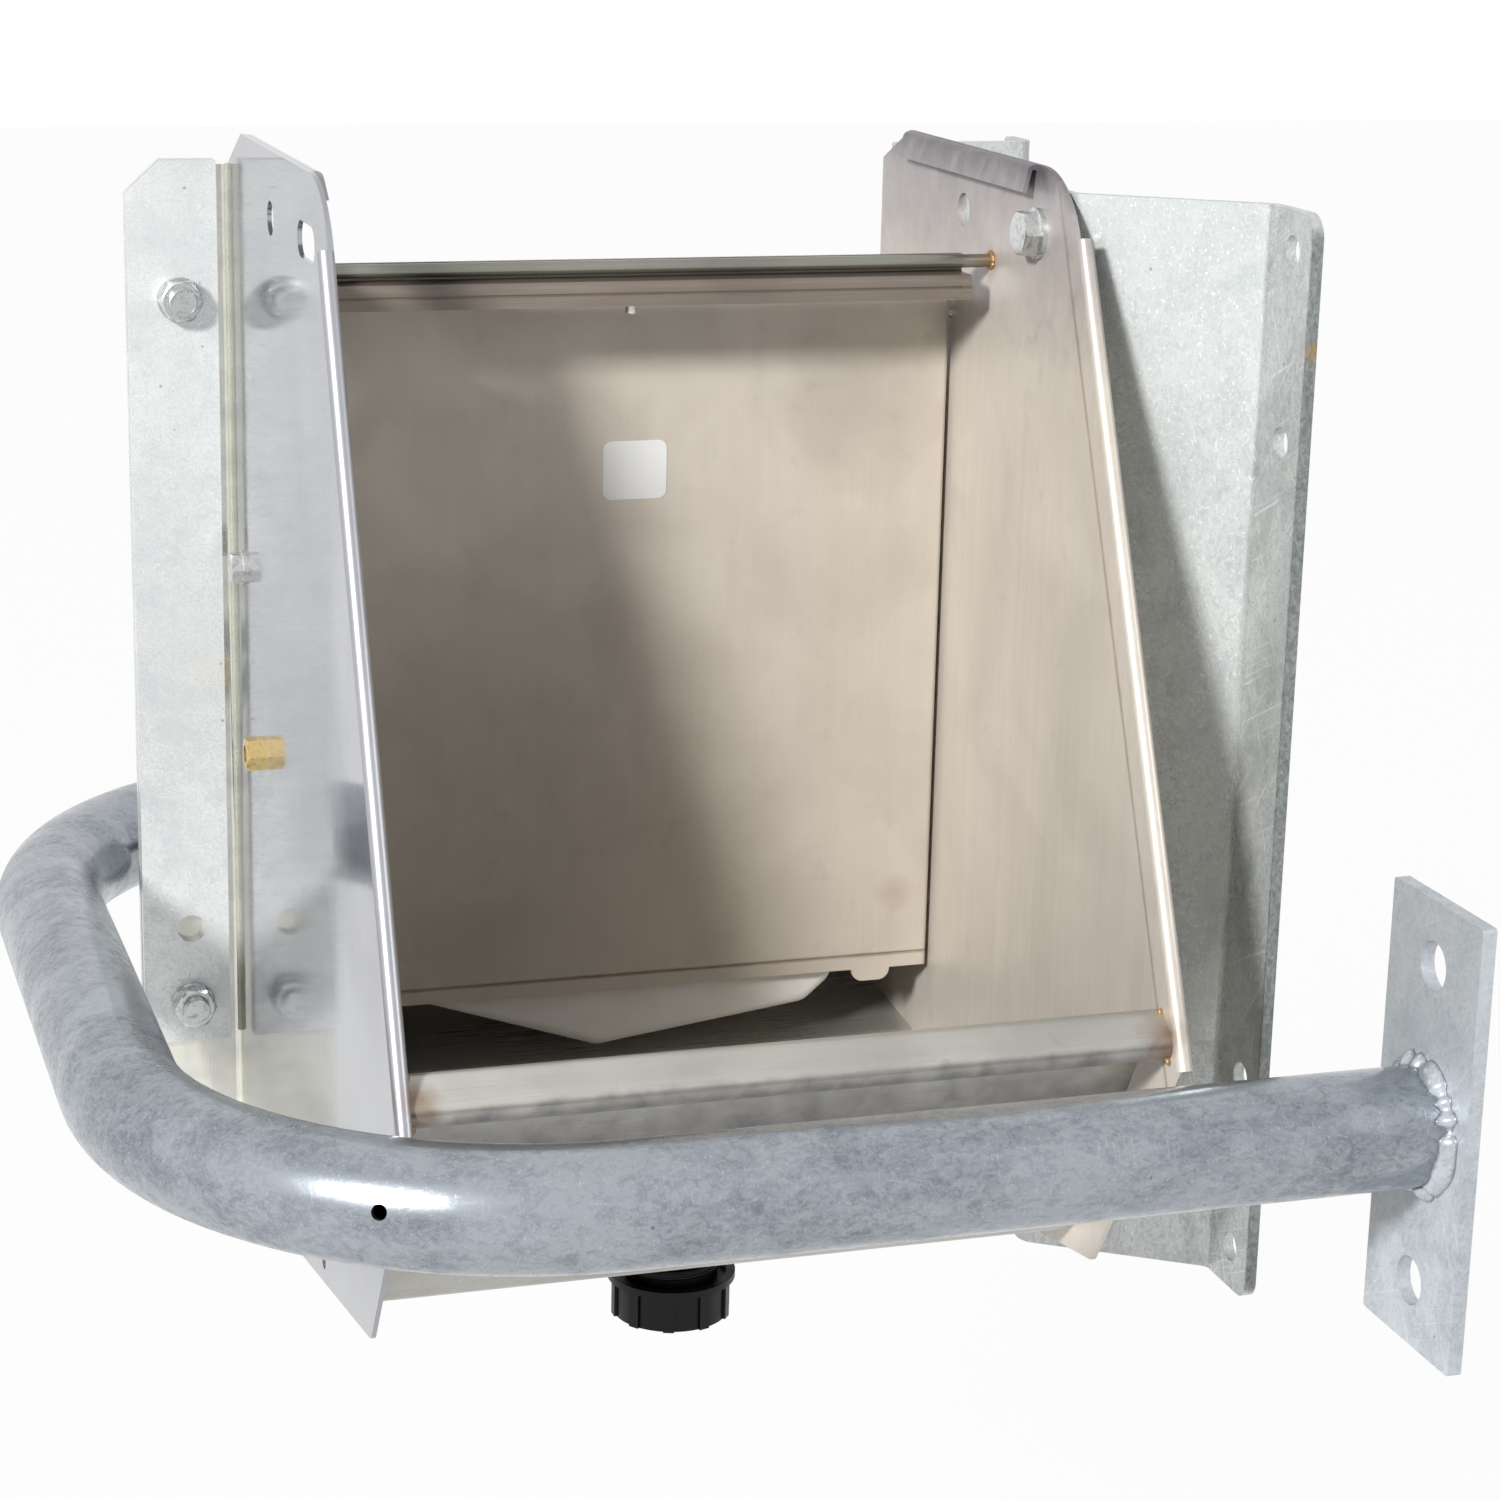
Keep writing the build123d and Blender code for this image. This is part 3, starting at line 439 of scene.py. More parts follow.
@dataclass(frozen=True)
class HotDipZinc:
    """Steel dipped in molten zinc.

    It gives the eye a pale bluish skin with fine fibrous mottling, soft brighter crystals, small
    pits and, on handled plates, a net of hair scratches.

    Attributes:
        name: Material name.
        light: Colour of the bright skin.
        dark: Colour of the dull mottling.
        fleck_mm: Size of the fine mottling.
        roughness: Middle roughness.
        mottle: How strongly the mottling shows.
        metal: Share of mirror-like reflection; the grey oxide scatters the rest.
        scratch: How strongly the hair scratches show.
        longer: How many times longer a fleck is along each axis.
        marks: Rust spots and stains.
        dust_mm: Size of the finest specks.
        run_mm: Size of the broad runs in the zinc.
        crystal_mm: Size of a zinc crystal.
        pit_mm: Distance between pits.
        hair_mm: Width of a hair scratch as drawn.
        hair_longer: How many times longer a hair scratch is along each axis.
        hair_tilts: Directions of the hair scratches, turned about X in degrees.
        hair: Colour of a hair scratch.
    """

    name: str
    light: str = "#C9CCCE"
    dark: str = "#8F9499"
    fleck_mm: float = 3.0
    roughness: float = 0.36
    mottle: float = 0.6
    metal: float = 0.6
    scratch: float = 0.0
    longer: Triple = PLAIN
    marks: tuple[Mark, ...] = ()
    dust_mm: float = 0.9
    run_mm: float = 26.0
    crystal_mm: float = 5.0
    pit_mm: float = 19.0
    hair_mm: float = 1.1
    hair_longer: Triple = (1.0, 1.0, 60.0)
    hair_tilts: Triple = (38.0, 64.0, 155.0)
    hair: str = "#F2F3F4"

    def make(self) -> bpy.types.Material:
        """Build the node material.

        Returns:
            The material.
        """
        material, tree, coords = new_tree(self.name)
        fleck = grain(tree, coords, self.fleck_mm, 5.0, self.longer, twist=0.9)
        dust = grain(tree, coords, self.dust_mm, 2.0)
        run = grain(tree, coords, self.run_mm, 4.0, self.longer, twist=0.8)
        cells = {"Vector": coords, "Scale": per_mm(self.crystal_mm)}
        crystal = put(tree, "ShaderNodeTexVoronoi", cells)
        shade = put(tree, "ShaderNodeRGBToBW", {0: crystal.outputs["Color"]}).outputs[0]
        tone = maths(tree, "MULTIPLY", spread(tree, fleck, 0.4, 0.66), self.mottle)
        tone = maths(tree, "ADD", tone, spread(tree, run, 0.35, 0.65, -0.16, 0.3))
        tone = maths(tree, "ADD", tone, spread(tree, shade, 0.2, 0.8, -0.05, 0.08))
        tone = maths(tree, "ADD", tone, spread(tree, dust, 0.35, 0.65, -0.08, 0.12), clamp=True)
        colour = mix(tree, tone, linear(self.light), linear(self.dark))
        spots = {"Vector": coords, "Scale": per_mm(self.pit_mm)}
        pits = put(tree, "ShaderNodeTexVoronoi", spots)
        # a pit is dark to a fiftieth of that distance from its middle
        pit = spread(tree, pits.outputs["Distance"], 0.02, 0.05, 0.5, 1.0)
        colour = mix(tree, 1.0, colour, pit, "MULTIPLY")
        rough = spread(tree, tone, 0.0, 1.0, self.roughness - 0.08, self.roughness + 0.14)
        if self.scratch:
            for tilt in self.hair_tilts:
                hair = grain(tree, coords, self.hair_mm, 2.0, self.hair_longer, (tilt, 0.0, 0.0))
                cut = spread(tree, hair, 0.66, 0.72, 0.0, self.scratch)
                colour = mix(tree, cut, colour, linear(self.hair))
        for mark in self.marks:
            colour = mark.lay(tree, coords, fleck, colour)
        skin = bump(tree, fleck, 0.12, 0.3)
        close_tree(tree, colour, self.metal, rough, bump(tree, run, 0.5, 0.2, skin))
        return material


@dataclass(frozen=True)
class TurnedMetal:
    """Turned or pressed fastener metal.

    It gives the eye crisp bright flats with fine rings from the tool, and dull grime in the roots.

    Attributes:
        name: Material name.
        light: Colour of the bright metal.
        dark: Colour of handled, dull metal.
        roughness: Middle roughness.
        metal: Share of mirror-like reflection.
        grime_mm: Size of a grimy patch.
        ring_mm: Distance between the tool's rings as drawn.
        ring_longer: How many times longer a ring's detail is along each axis.
    """

    name: str
    light: str = "#CFCFCE"
    dark: str = "#8C8D8E"
    roughness: float = 0.26
    metal: float = 0.9
    grime_mm: float = 3.0
    ring_mm: float = 0.6
    ring_longer: Triple = (4.0, 1.0, 4.0)

    def make(self) -> bpy.types.Material:
        """Build the node material.

        Returns:
            The material.
        """
        material, tree, coords = new_tree(self.name)
        grime = grain(tree, coords, self.grime_mm, 4.0, twist=0.5)
        turning = grain(tree, coords, self.ring_mm, 2.0, self.ring_longer)
        colour = mix(tree, spread(tree, grime, 0.5, 0.8), linear(self.light), linear(self.dark))
        rough = spread(tree, grime, 0.3, 0.7, self.roughness - 0.06, self.roughness + 0.12)
        close_tree(tree, colour, self.metal, rough, bump(tree, turning, 0.02, 0.15))
        return material


@dataclass(frozen=True)
class MouldedPlastic:
    """Moulded plastic or rubber.

    It gives the eye a fine eroded skin with faint flow marks, and dust on the duller patches.

    Attributes:
        name: Material name.
        colour: Colour of the plastic.
        dust: Colour of the scuffed or dusty skin.
        roughness: Middle roughness.
        dusty: How much of the skin is dusty.
        skin_mm: Grain of the moulded skin as drawn.
        flow_mm: Size of a flow mark.
        sheen: Strength of the clear reflection over the colour.
    """

    name: str
    colour: str
    dust: str
    roughness: float = 0.4
    dusty: float = 0.3
    skin_mm: float = 0.7
    flow_mm: float = 22.0
    sheen: float = 0.25

    def make(self) -> bpy.types.Material:
        """Build the node material.

        Returns:
            The material.
        """
        material, tree, coords = new_tree(self.name)
        # spark-eroded skin is about 0.1 mm, drawn 0.7 mm coarse to show
        skin = grain(tree, coords, self.skin_mm)
        flow = grain(tree, coords, self.flow_mm, 4.0, twist=0.8)
        dust = spread(tree, flow, 0.45, 0.7, 0.0, self.dusty)
        colour = mix(tree, dust, linear(self.colour), linear(self.dust))
        rough = spread(tree, flow, 0.3, 0.7, self.roughness - 0.06, self.roughness + 0.1)
        close_tree(tree, colour, 0.0, rough, bump(tree, skin, 0.06, 0.2), self.sheen)
        return material


def dress(names: tuple[str, ...], finish: Finish) -> None:
    """Give CAD nodes their finish.

    Args:
        names: Names of the CAD nodes.
        finish: The finish.
    """
    material = finish.make()
    for name in names:
        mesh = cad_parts[name].data
        mesh.materials.clear()
        mesh.materials.append(material)
        LOG.info("%s: %s", name, finish.name)


def piece_from(
    name: str, mesh: bmesh.types.BMesh, finish: Finish, body: str
) -> bpy.types.Object:
    """Turn a bmesh into a piece that rides on a body.

    Args:
        name: Name of the piece.
        mesh: Its mesh, in the object's frame.
        finish: The finish.
        body: Body that it rides on.

    Returns:
        The new object.
    """
    data = bpy.data.meshes.new(name)
    bmesh.ops.recalc_face_normals(mesh, faces=mesh.faces)
    mesh.to_mesh(data)
    mesh.free()
    for polygon in data.polygons:
        polygon.use_smooth = True
    data.materials.append(finish.make())
    piece = bpy.data.objects.new(name, data)
    bpy.context.scene.collection.objects.link(piece)
    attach(piece, body)
    LOG.info("%s: %s on %s", name, finish.name, body)
    return piece


def stitch(mesh: bmesh.types.BMesh, rows: list[list[Vector]], ring: bool) -> None:
    """Skin rows of points that have equal lengths.

    Args:
        mesh: Mesh to add to.
        rows: Rows of points; each row is closed on itself.
        ring: Whether the last row joins the first, or both ends are capped.
    """
    verts = [[mesh.verts.new(p) for p in row] for row in rows]
    count = len(verts[0])
    pairs = list(zip(verts, verts[1:]))
    if ring:
        pairs.append((verts[-1], verts[0]))
    for low, high in pairs:
        for i in range(count):
            j = (i + 1) % count
            mesh.faces.new((low[i], low[j], high[j], high[i]))
    if not ring:
        mesh.faces.new(verts[0])
        mesh.faces.new(verts[-1])


def around(centre: Vector, axis: Vector) -> Matrix:
    """Frame with its Z along an axis.

    Args:
        centre: Origin of the frame.
        axis: Direction of its Z.

    Returns:
        The frame as a matrix.
    """
    return Matrix.Translation(centre) @ axis.to_track_quat("Z", "Y").to_matrix().to_4x4()


def polar(radius: float, angle: float, height: float) -> Vector:
    """Point at a radius, an angle and a height.

    Args:
        radius: Distance from the Z axis.
        angle: Angle about Z in radians.
        height: Height along Z.

    Returns:
        The point.
    """
    return Vector((radius * math.cos(angle), radius * math.sin(angle), height))


def thread(
    mesh: bmesh.types.BMesh, place: Matrix, radius: float, rise: float, pitch: float, turns: float
) -> None:
    """Wind a thread ridge up a shank.

    Args:
        mesh: Mesh to add to.
        place: Frame at the foot of the thread, Z along the shank.
        radius: Radius of the shank in metres.
        rise: Height of the ridge over the shank.
        pitch: Distance between turns.
        turns: How many turns.
    """
    per_turn = 40
    steps = int(per_turn * turns)
    root = radius - 0.3 * rise
    rows = []
    for i in range(steps + 1):
        angle = 2 * math.pi * turns * i / steps
        up = pitch * turns * i / steps
        # the ridge grows and dies away over an eighth of its length
        full = min(1.0, 8 * i / steps, 8 * (steps - i) / steps)
        crest = radius + full * rise
        section = ((root, up), (crest, up + 0.42 * pitch), (crest, up + 0.58 * pitch), (root, up + pitch))
        rows.append([place @ polar(r, angle, z) for r, z in section])
    stitch(mesh, rows, ring=False)


def weld_ring(
    mesh: bmesh.types.BMesh, place: Matrix, radius: float, leg: float, ripples: int, rough: float
) -> None:
    """Lay a rippled fillet weld round a tube that stands on a plate.

    Args:
        mesh: Mesh to add to.
        place: Frame on the plate, Z along the tube.
        radius: Radius of the tube in metres.
        leg: Leg of the weld.
        ripples: How many ripples go round.
        rough: How uneven the legs are, as a share.
    """
    per_ripple = 12
    count = per_ripple * ripples
    root = radius - 0.4 * MM
    rows = []
    for i in range(count):
        angle = 2 * math.pi * i / count
        ripple = 0.5 + 0.5 * math.cos(ripples * angle)
        wander = noise.noise(polar(6.0, angle, radius / MM))
        size = leg * (1.0 - 0.16 * ripple + rough * min(0.0, wander))
        row = []
        for share in (0.0, 0.2, 0.4, 0.6, 0.8, 1.0):
            swell = 1.0 + 0.32 * math.sin(math.pi * share)
            out = radius + size * (1.0 - share) * swell * 0.92
            row.append(place @ polar(out, angle, size * share * swell))
        # the inner edge lies just inside the tube, so no gap shows
        row.append(place @ polar(root, angle, 0.0))
        rows.append(row)
    stitch(mesh, rows, ring=True)


def weld_bead(
    mesh: bmesh.types.BMesh, start: Vector, end: Vector, width: float, ripples: int, seed: float
) -> None:
    """Lay a lumpy weld bead along a line.

    Args:
        mesh: Mesh to add to.
        start: One end in metres.
        end: Other end.
        width: Radius of the bead.
        ripples: How many lumps it has.
        seed: Where its unevenness is read.
    """
    run = end - start
    place = around(start, run)
    rows = []
    sides = 12
    steps = 8 * ripples
    for i in range(steps + 1):
        share = i / steps
        taper = math.sqrt(max(0.02, math.sin(math.pi * (0.04 + 0.92 * share))))
        lump = 0.82 + 0.18 * abs(math.cos(math.pi * ripples * share))
        row = []
        for side in range(sides):
            angle = 2 * math.pi * side / sides
            wander = noise.noise(Vector((seed + 9 * share, side * 0.7, seed)))
            size = width * taper * lump * (1 + 0.25 * wander)
            row.append(place @ polar(size, angle, run.length * share))
        rows.append(row)
    stitch(mesh, rows, ring=False)


@dataclass
class SidePanels:
    """The two tall splash panels with rolled front edges and folded tops.

    Attributes:
        inner: X of the inner faces, left and right, in millimetres.
        rim: Y and Z of the basin's rim where it meets the panels.
        rod: Y and Z of the rod's weld on the right panel.
        splash: Y and Z of the dried splash low on the right panel.
        bead_normal: Normal of a plane along the rolled edge.
        bead_offset: Distance from the origin of the brown line behind the roll.
        roll_offset: Distance from the origin at which the roll meets the flat sheet.
        bend: Y at which the left panel turns into its flange.
        hem: Z of the folded top edge, which is given a painted shade.
        top_darkening: Z of the middle of a darker band below that edge.
        tint: Radius of the heat tint at a weld.
    """

    inner: tuple[float, float] = (-394.0, -78.0)
    rim: tuple[float, float] = (-80.0, -268.0)
    rod: tuple[float, float] = (151.0, 17.0)
    splash: tuple[float, float] = (60.0, -375.0)
    bead_normal: Triple = (0.0, 0.912, -0.410)
    bead_offset: float = 46.0
    roll_offset: float = 38.0
    bend: float = 299.0
    hem: float = 66.0
    top_darkening: float = 50.0
    tint: float = 9.0

    def dress(self) -> None:
        """Give each panel its sheet finish with its own stains, a painted reflection and a painted shade.
        """
        left, right = self.inner
        # panel and flange mirror each other in the bend, which looks paler than plain sheet
        bend = Mark.band("#EDECDF", ALONG_Y, self.bend, half=5.0, strength=0.9)
        rim_left = Mark("#8E6A3C", (left, *self.rim), self.tint, strength=0.8)
        bright = BrushedStainless(
            "Bright-rolled stainless, left", light="#A6A7AB", dark="#93949A", roughness=0.08,
            cloud=0.5, metal=0.75, line=0.02, marks=(bend, rim_left),
            satin_normal=self.bead_normal, satin_offset=self.roll_offset,
        )
        dress(("left_side_panel",), bright)
        crease = Mark.band("#86664A", self.bead_normal, self.bead_offset, half=1.6, strength=0.55)
        rod_tint = Mark("#9A7442", (right, *self.rod), self.tint, strength=0.7)
        rim_right = Mark("#6B4B31", (right, *self.rim), self.tint, strength=0.85)
        splash = Mark("#8A7F70", (right, *self.splash), size=40.0, strength=0.5)
        # painted shade on the inward-folded top edge, which faces down
        hem = Mark.band("#57535B", ALONG_Z, self.hem, half=15.0, strength=0.85)
        # a darker band over the upper part of the sheet
        top_darkening = Mark.band("#85818B", ALONG_Z, self.top_darkening, half=58.0, strength=0.6)
        plain = BrushedStainless(
            "Cold-rolled stainless, right", light="#D2CABF", dark="#B9B0A5",
            marks=(crease, rod_tint, rim_right, splash, top_darkening, hem),
        )
        dress(("right_side_panel",), plain)


@dataclass
class Basin:
    """The folded basin, its back wall and the rod over it.

    Attributes:
        rim: Y and Z of the rim's end welds, in millimetres.
        ends: X of the left and right welds.
        lip: Z of the dark band just under the rim.
        wall: Z of the middle of the softer band below it.
        rim_low: Y and Z from a rim weld's centre to its lower end.
        rim_high: Y and Z from a rim weld's centre to its upper end.
        rim_bead: Radius of a rim weld.
        rod: Y and Z of the rod's axis.
        rod_radius: Radius of the rod.
        rod_leg: Leg of the welds at its ends.
        to_panel: From the ends to the panels' faces, where the rod's welds stand.
    """

    rim: tuple[float, float] = (-80.0, -270.0)
    ends: tuple[float, float] = (-393.0, -79.0)
    lip: float = -279.5
    wall: float = -316.0
    rim_low: tuple[float, float] = (-2.5, -10.0)
    rim_high: tuple[float, float] = (9.0, 10.5)
    rim_bead: float = 2.2
    rod: tuple[float, float] = (151.0, 18.5)
    rod_radius: float = 3.0
    rod_leg: float = 1.7
    to_panel: float = 1.0

    def dress(self) -> None:
        """Give the sheets their finish."""
        ends = tuple(Mark("#7A5634", (x, *self.rim), size=12.0, strength=0.8) for x in self.ends)
        # two dark bands stand for what the bright sheet under the rim reflects
        lip = Mark.band("#333238", ALONG_Z, self.lip, half=9.0, strength=0.9)
        wall = Mark.band("#454449", ALONG_Z, self.wall, half=38.0, strength=0.8)
        sheet = BrushedStainless(
            "Cold-rolled stainless, basin", light="#BAB8B1", dark="#8F8C86", brush=Brush.ACROSS,
            roughness=0.3, metal=0.5, marks=(wall, lip, *ends),
        )
        dress(("basin",), sheet)
        back = BrushedStainless("Cold-rolled stainless, back", light="#9C978E", dark="#7E7A73")
        dress(("back_wall",), back)
        tints = tuple(Mark("#8A6B43", (x, *self.rod), size=9.0, strength=0.85) for x in self.ends)
        rod = BrushedStainless(
            "Drawn stainless rod", light="#8F8E84", dark="#6F6E66", brush=Brush.ACROSS,
            roughness=0.24, metal=0.7, marks=tints,
        )
        dress(("top_rod",), rod)

    def weld(self) -> None:
        """Lay the welds at the rod's ends and where the rim meets the panels."""
        rod = bmesh.new()
        for x, way in zip(self.ends, (1.0, -1.0)):
            foot = Vector((x - way * self.to_panel, *self.rod)) * MM
            place = around(foot, Vector((way, 0.0, 0.0)))
            weld_ring(rod, place, self.rod_radius * MM, self.rod_leg * MM, ripples=5, rough=0.9)
        straw = BrushedStainless(
            "TIG weld, straw tinted", light="#A78450", dark="#5E4731", roughness=0.3, cloud_mm=5.0
        )
        piece_from("rod_welds", rod, straw, "trough")
        rim = bmesh.new()
        y, z = self.rim
        low_y, low_z = self.rim_low
        high_y, high_z = self.rim_high
        for x, lumps, seed in zip(self.ends, (3, 6), (2.0, 7.0)):
            low = Vector((x, y + low_y, z + low_z)) * MM
            high = Vector((x, y + high_y, z + high_z)) * MM
            weld_bead(rim, low, high, self.rim_bead * MM, lumps, seed)
        piece_from("rim_welds", rim, straw, "trough")


@dataclass
class Cover:
    """The valve cover, its rail, pins and stop stud.

    Attributes:
        face: Y of the cover's front face in millimetres.
        foot: Z of the crease above its lower edge.
        scuff: Z of the line worn along the rail.
        label: X and Z of the blank label's centre.
        label_size: Width, height and corner radius of the label.
        label_rows: Scale, and Y from the face in millimetres, of each row of the label.
        corner_steps: Steps round each corner of the label.
    """

    face: float = 194.5
    foot: float = -320.5
    scuff: float = 8.2
    label: tuple[float, float] = (-230.0, -79.5)
    label_size: Triple = (30.0, 27.0, 4.0)
    label_rows: tuple[tuple[float, float], ...] = ((1.0, 0.05), (1.0, -0.12), (0.985, -0.16))
    corner_steps: int = 6

    def dress(self) -> None:
        """Give the cover its finish."""
        crease = Mark.band("#5E4233", ALONG_Z, self.foot, half=1.2, strength=0.6)
        water = Mark("#A08C78", (-98.0, self.face, -290.0), size=10.0, strength=0.45)
        # painted shade over the left of the cover, beside the left panel
        left_shade = Mark("#8F8377", (-330.0, self.face, -180.0), size=60.0, strength=0.3)
        cloth = Mark("#958E86", (-130.0, self.face, -35.0), size=45.0, strength=0.45)
        sheet = BrushedStainless(
            "Cold-rolled stainless, cover", light="#C9C0B3", dark="#B2A89C", roughness=0.4,
            cloud=0.45, cloud_mm=45.0, metal=0.12, line=0.02, marks=(crease, water, left_shade, cloth),
        )
        dress(("valve_cover",), sheet)
        scuff = Mark.band("#5A4C40", ALONG_Z, self.scuff, half=0.7, strength=0.75)
        rail = BrushedStainless(
            "Cold-rolled stainless, rail", light="#7E746A", dark="#60574F", brush=Brush.ACROSS,
            roughness=0.3, line=0.07, marks=(scuff,),
        )
        dress(("cover_rail",), rail)
        dress(("cover_pins", "stop_stud", "stop_nut"), TurnedMetal("Turned stainless"))

    def stick_label(self) -> None:
        """Lay the blank label on the cover."""
        width, height, corner = (v * MM for v in self.label_size)
        outline = []
        for quarter, (sx, sz) in enumerate(((1, 1), (-1, 1), (-1, -1), (1, -1))):
            for step in range(self.corner_steps + 1):
                angle = math.radians(90 * quarter + 90 / self.corner_steps * step)
                x = sx * (width / 2 - corner) + corner * math.cos(angle)
                z = sz * (height / 2 - corner) + corner * math.sin(angle)
                outline.append((x, z))
        middle_x, middle_z = (v * MM for v in self.label)
        rows = []
        for scale, lift in self.label_rows:
            y = (self.face + lift) * MM
            rows.append([Vector((middle_x + scale * x, y, middle_z + scale * z)) for x, z in outline])
        mesh = bmesh.new()
        stitch(mesh, rows, ring=False)
        film = MouldedPlastic("Vinyl film, white", "#E4E4E1", "#CFCEC9", roughness=0.3, dusty=0.2)
        piece_from("blank_label", mesh, film, "cover")


@dataclass
class Valve:
    """The float valve behind the cover.

    Attributes:
        brass: Parts machined from brass.
        steel: Small stainless bolts, pins and nuts.
        plates: Parts cut from stainless plate.
    """

    brass: tuple[str, ...] = ("valve_body", "stud_nut", "valve_stem")
    steel: tuple[str, ...] = (
        "carrier_bolt", "carrier_nut", "carrier_washers", "lever_pin", "float_stud", "float_nut",
    )
    plates: tuple[str, ...] = ("valve_carrier", "float_lever")

    def dress(self) -> None:
        """Give the valve's parts their finishes."""
        dress(self.brass, TurnedMetal("Machined brass", "#DDC487", "#AE8F4D", roughness=0.24))
        dress(self.steel, TurnedMetal("Stainless fasteners"))
        dress(self.plates, BrushedStainless("Stainless valve plate"))
        rubber = MouldedPlastic("Nitrile rubber", "#1B1B1C", "#333334", roughness=0.6)
        dress(("valve_seal",), rubber)
        hollow = MouldedPlastic("Blow-moulded polyethylene", "#EFEDE7", "#DAD7CE", roughness=0.45)
        dress(("float_body",), hollow)


@dataclass
class Drain:
    """The drain spigot, gasket, locknut and screw cap.

    Attributes:
        axis: X and Y of the drain's axis in millimetres.
        foot: Z at which the open thread starts, above the cap.
        turns: Turns of thread between the cap and the locknut.
        pitch: Distance between turns.
        radius: Radius of the spigot.
        rise: Height of the thread over the spigot.
    """

    axis: tuple[float, float] = (-236.0, 95.0)
    foot: float = -426.0
    turns: float = 7.0
    pitch: float = 3.2
    radius: float = 21.0
    rise: float = 1.7

    def nylon(self, name: str) -> MouldedPlastic:
        """Black polyamide under a name of its own."""
        return MouldedPlastic(name, "#08080A", "#141517", roughness=0.34)

    def dress(self) -> None:
        """Give the drain its finishes."""
        dress(("drain_spigot", "drain_locknut", "drain_cap"), self.nylon("Glass-filled polyamide"))
        rubber = MouldedPlastic("Moulded rubber", "#141414", "#2B2B2B", roughness=0.62)
        dress(("drain_gasket", "drain_cap_seal"), rubber)

    def cut_thread(self) -> None:
        """Wind the spigot's thread between the cap and the locknut."""
        mesh = bmesh.new()
        place = around(Vector((*self.axis, self.foot)) * MM, Vector(ALONG_Z))
        thread(mesh, place, self.radius * MM, self.rise * MM, self.pitch * MM, self.turns)
        nylon = self.nylon("Glass-filled polyamide, thread")
        piece_from("drain_thread", mesh, nylon, "trough")


@dataclass
class Galvanised:
    """The clamp strips, the wall bracket and the bumper.

    Attributes:
        bracket_edge: Y of the dark line along the bracket's front edge, in millimetres.
        rust: Centre of the rust mark on the bracket.
        tube_ends: Y of the two ends of the bumper's tube.
        tube_z: Z of its axis.
        tube_radius: Its radius.
        plate_face: X of the plates' outer face.
        weld_leg: Leg of the welds between the tube and its plates.
        weld_ripples: How many ripples go round such a weld.
    """

    bracket_edge: float = -18.6
    rust: Triple = (-1.0, -16.0, 1.0)
    tube_ends: tuple[float, float] = (-162.0, 394.0)
    tube_z: float = -283.0
    tube_radius: float = 24.15
    plate_face: float = -6.0
    weld_leg: float = 6.6
    weld_ripples: int = 8

    def dress(self) -> None:
        """Give the zinc-dipped steel its finishes."""
        strip = HotDipZinc(
            "Hot-dip zinc, strip", light="#E2E4E2", dark="#C2C6C6", fleck_mm=1.6, roughness=0.3,
            mottle=0.45, metal=0.45, scratch=0.2,
        )
        dress(("clamp_strip_front", "clamp_strip_rear"), strip)
        edge = Mark.band("#4E5354", ALONG_Y, self.bracket_edge, half=2.2, strength=0.85)
        rust = Mark("#A87F2E", self.rust, size=5.0, strength=0.9)
        bracket = HotDipZinc(
            "Hot-dip zinc, bracket", light="#CDD0CE", dark="#969D9C", fleck_mm=2.0, roughness=0.3,
            mottle=0.42, metal=0.45, scratch=0.6, longer=(1.0, 1.0, 1.6), marks=(edge, rust),
        )
        dress(("wall_bracket",), bracket)
        tube = HotDipZinc(
            "Hot-dip zinc, tube", light="#A0A6AC", dark="#5F656E", fleck_mm=2.6, roughness=0.25,
            mottle=0.34, metal=0.74, scratch=0.15, longer=(1.8, 1.3, 1.0),
        )
        dress(("bumper_tube",), tube)
        plate = HotDipZinc(
            "Hot-dip zinc, plate", light="#C0C5C9", dark="#9AA1A7", fleck_mm=2.2, roughness=0.4,
            mottle=0.4, metal=0.4, scratch=0.2,
        )
        dress(("bumper_plate_front", "bumper_plate_rear"), plate)

    def dress_fasteners(self) -> None:
        """Give the bolts, nuts and washers their bright zinc."""
        names = (
            "flange_bolts", "flange_nuts", "flange_washers", "panel_bolt", "panel_nut", "panel_washers",
        )
        dress(names, TurnedMetal("Bright zinc plating", "#D4D6D5", "#8E9190", roughness=0.22))

    def weld(self) -> None:
        """Lay the rippled welds between the tube and its plates, in place of the plain ones."""
        zinc = HotDipZinc(
            "Hot-dip zinc, weld", light="#BFC4C9", dark="#8B9298", fleck_mm=2.0, roughness=0.26,
            mottle=0.5, metal=0.6,
        )
        away = Vector((-1.0, 0.0, 0.0))
        for name, y in zip(("bumper_weld_front", "bumper_weld_rear"), self.tube_ends):
            mesh = bmesh.new()
            place = around(Vector((self.plate_face, y, self.tube_z)) * MM, away)
            leg = self.weld_leg * MM
            weld_ring(mesh, place, self.tube_radius * MM, leg, self.weld_ripples, rough=1.3)
            bead = piece_from(f"{name}_bead", mesh, zinc, "trough")
            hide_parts(name)


@dataclass
class BoltThreads:
    """Open threads on the bolts, where they stand out of their nuts.

    Attributes:
        starts: Where each thread starts, on the nut's face, in millimetres.
        radius: Radius of the shank under the ridge.
        rise: Height of the thread over it.
        pitch: Coarse pitch of an M12 thread.
        turns: Turns that show.
    """

    starts: tuple[Triple, ...] = (
        (-420.0, 285.0, -353.0), (-420.0, 285.0, -12.0), (-52.0, 285.0, -353.0), (-52.0, 285.0, -12.0),
    )
    radius: float = 5.9
    rise: float = 0.45
    pitch: float = 1.75
    turns: float = 1.5

    def wind(self) -> None:
        """Wind the visible turns on each bolt."""
        mesh = bmesh.new()
        for start in self.starts:
            place = around(Vector(start) * MM, Vector(TO_FRONT))
            thread(mesh, place, self.radius * MM, self.rise * MM, self.pitch * MM, self.turns)
        rolled = TurnedMetal("Rolled thread, zinc", "#C8CACA", "#858887")
        piece_from("bolt_threads", mesh, rolled, "trough")


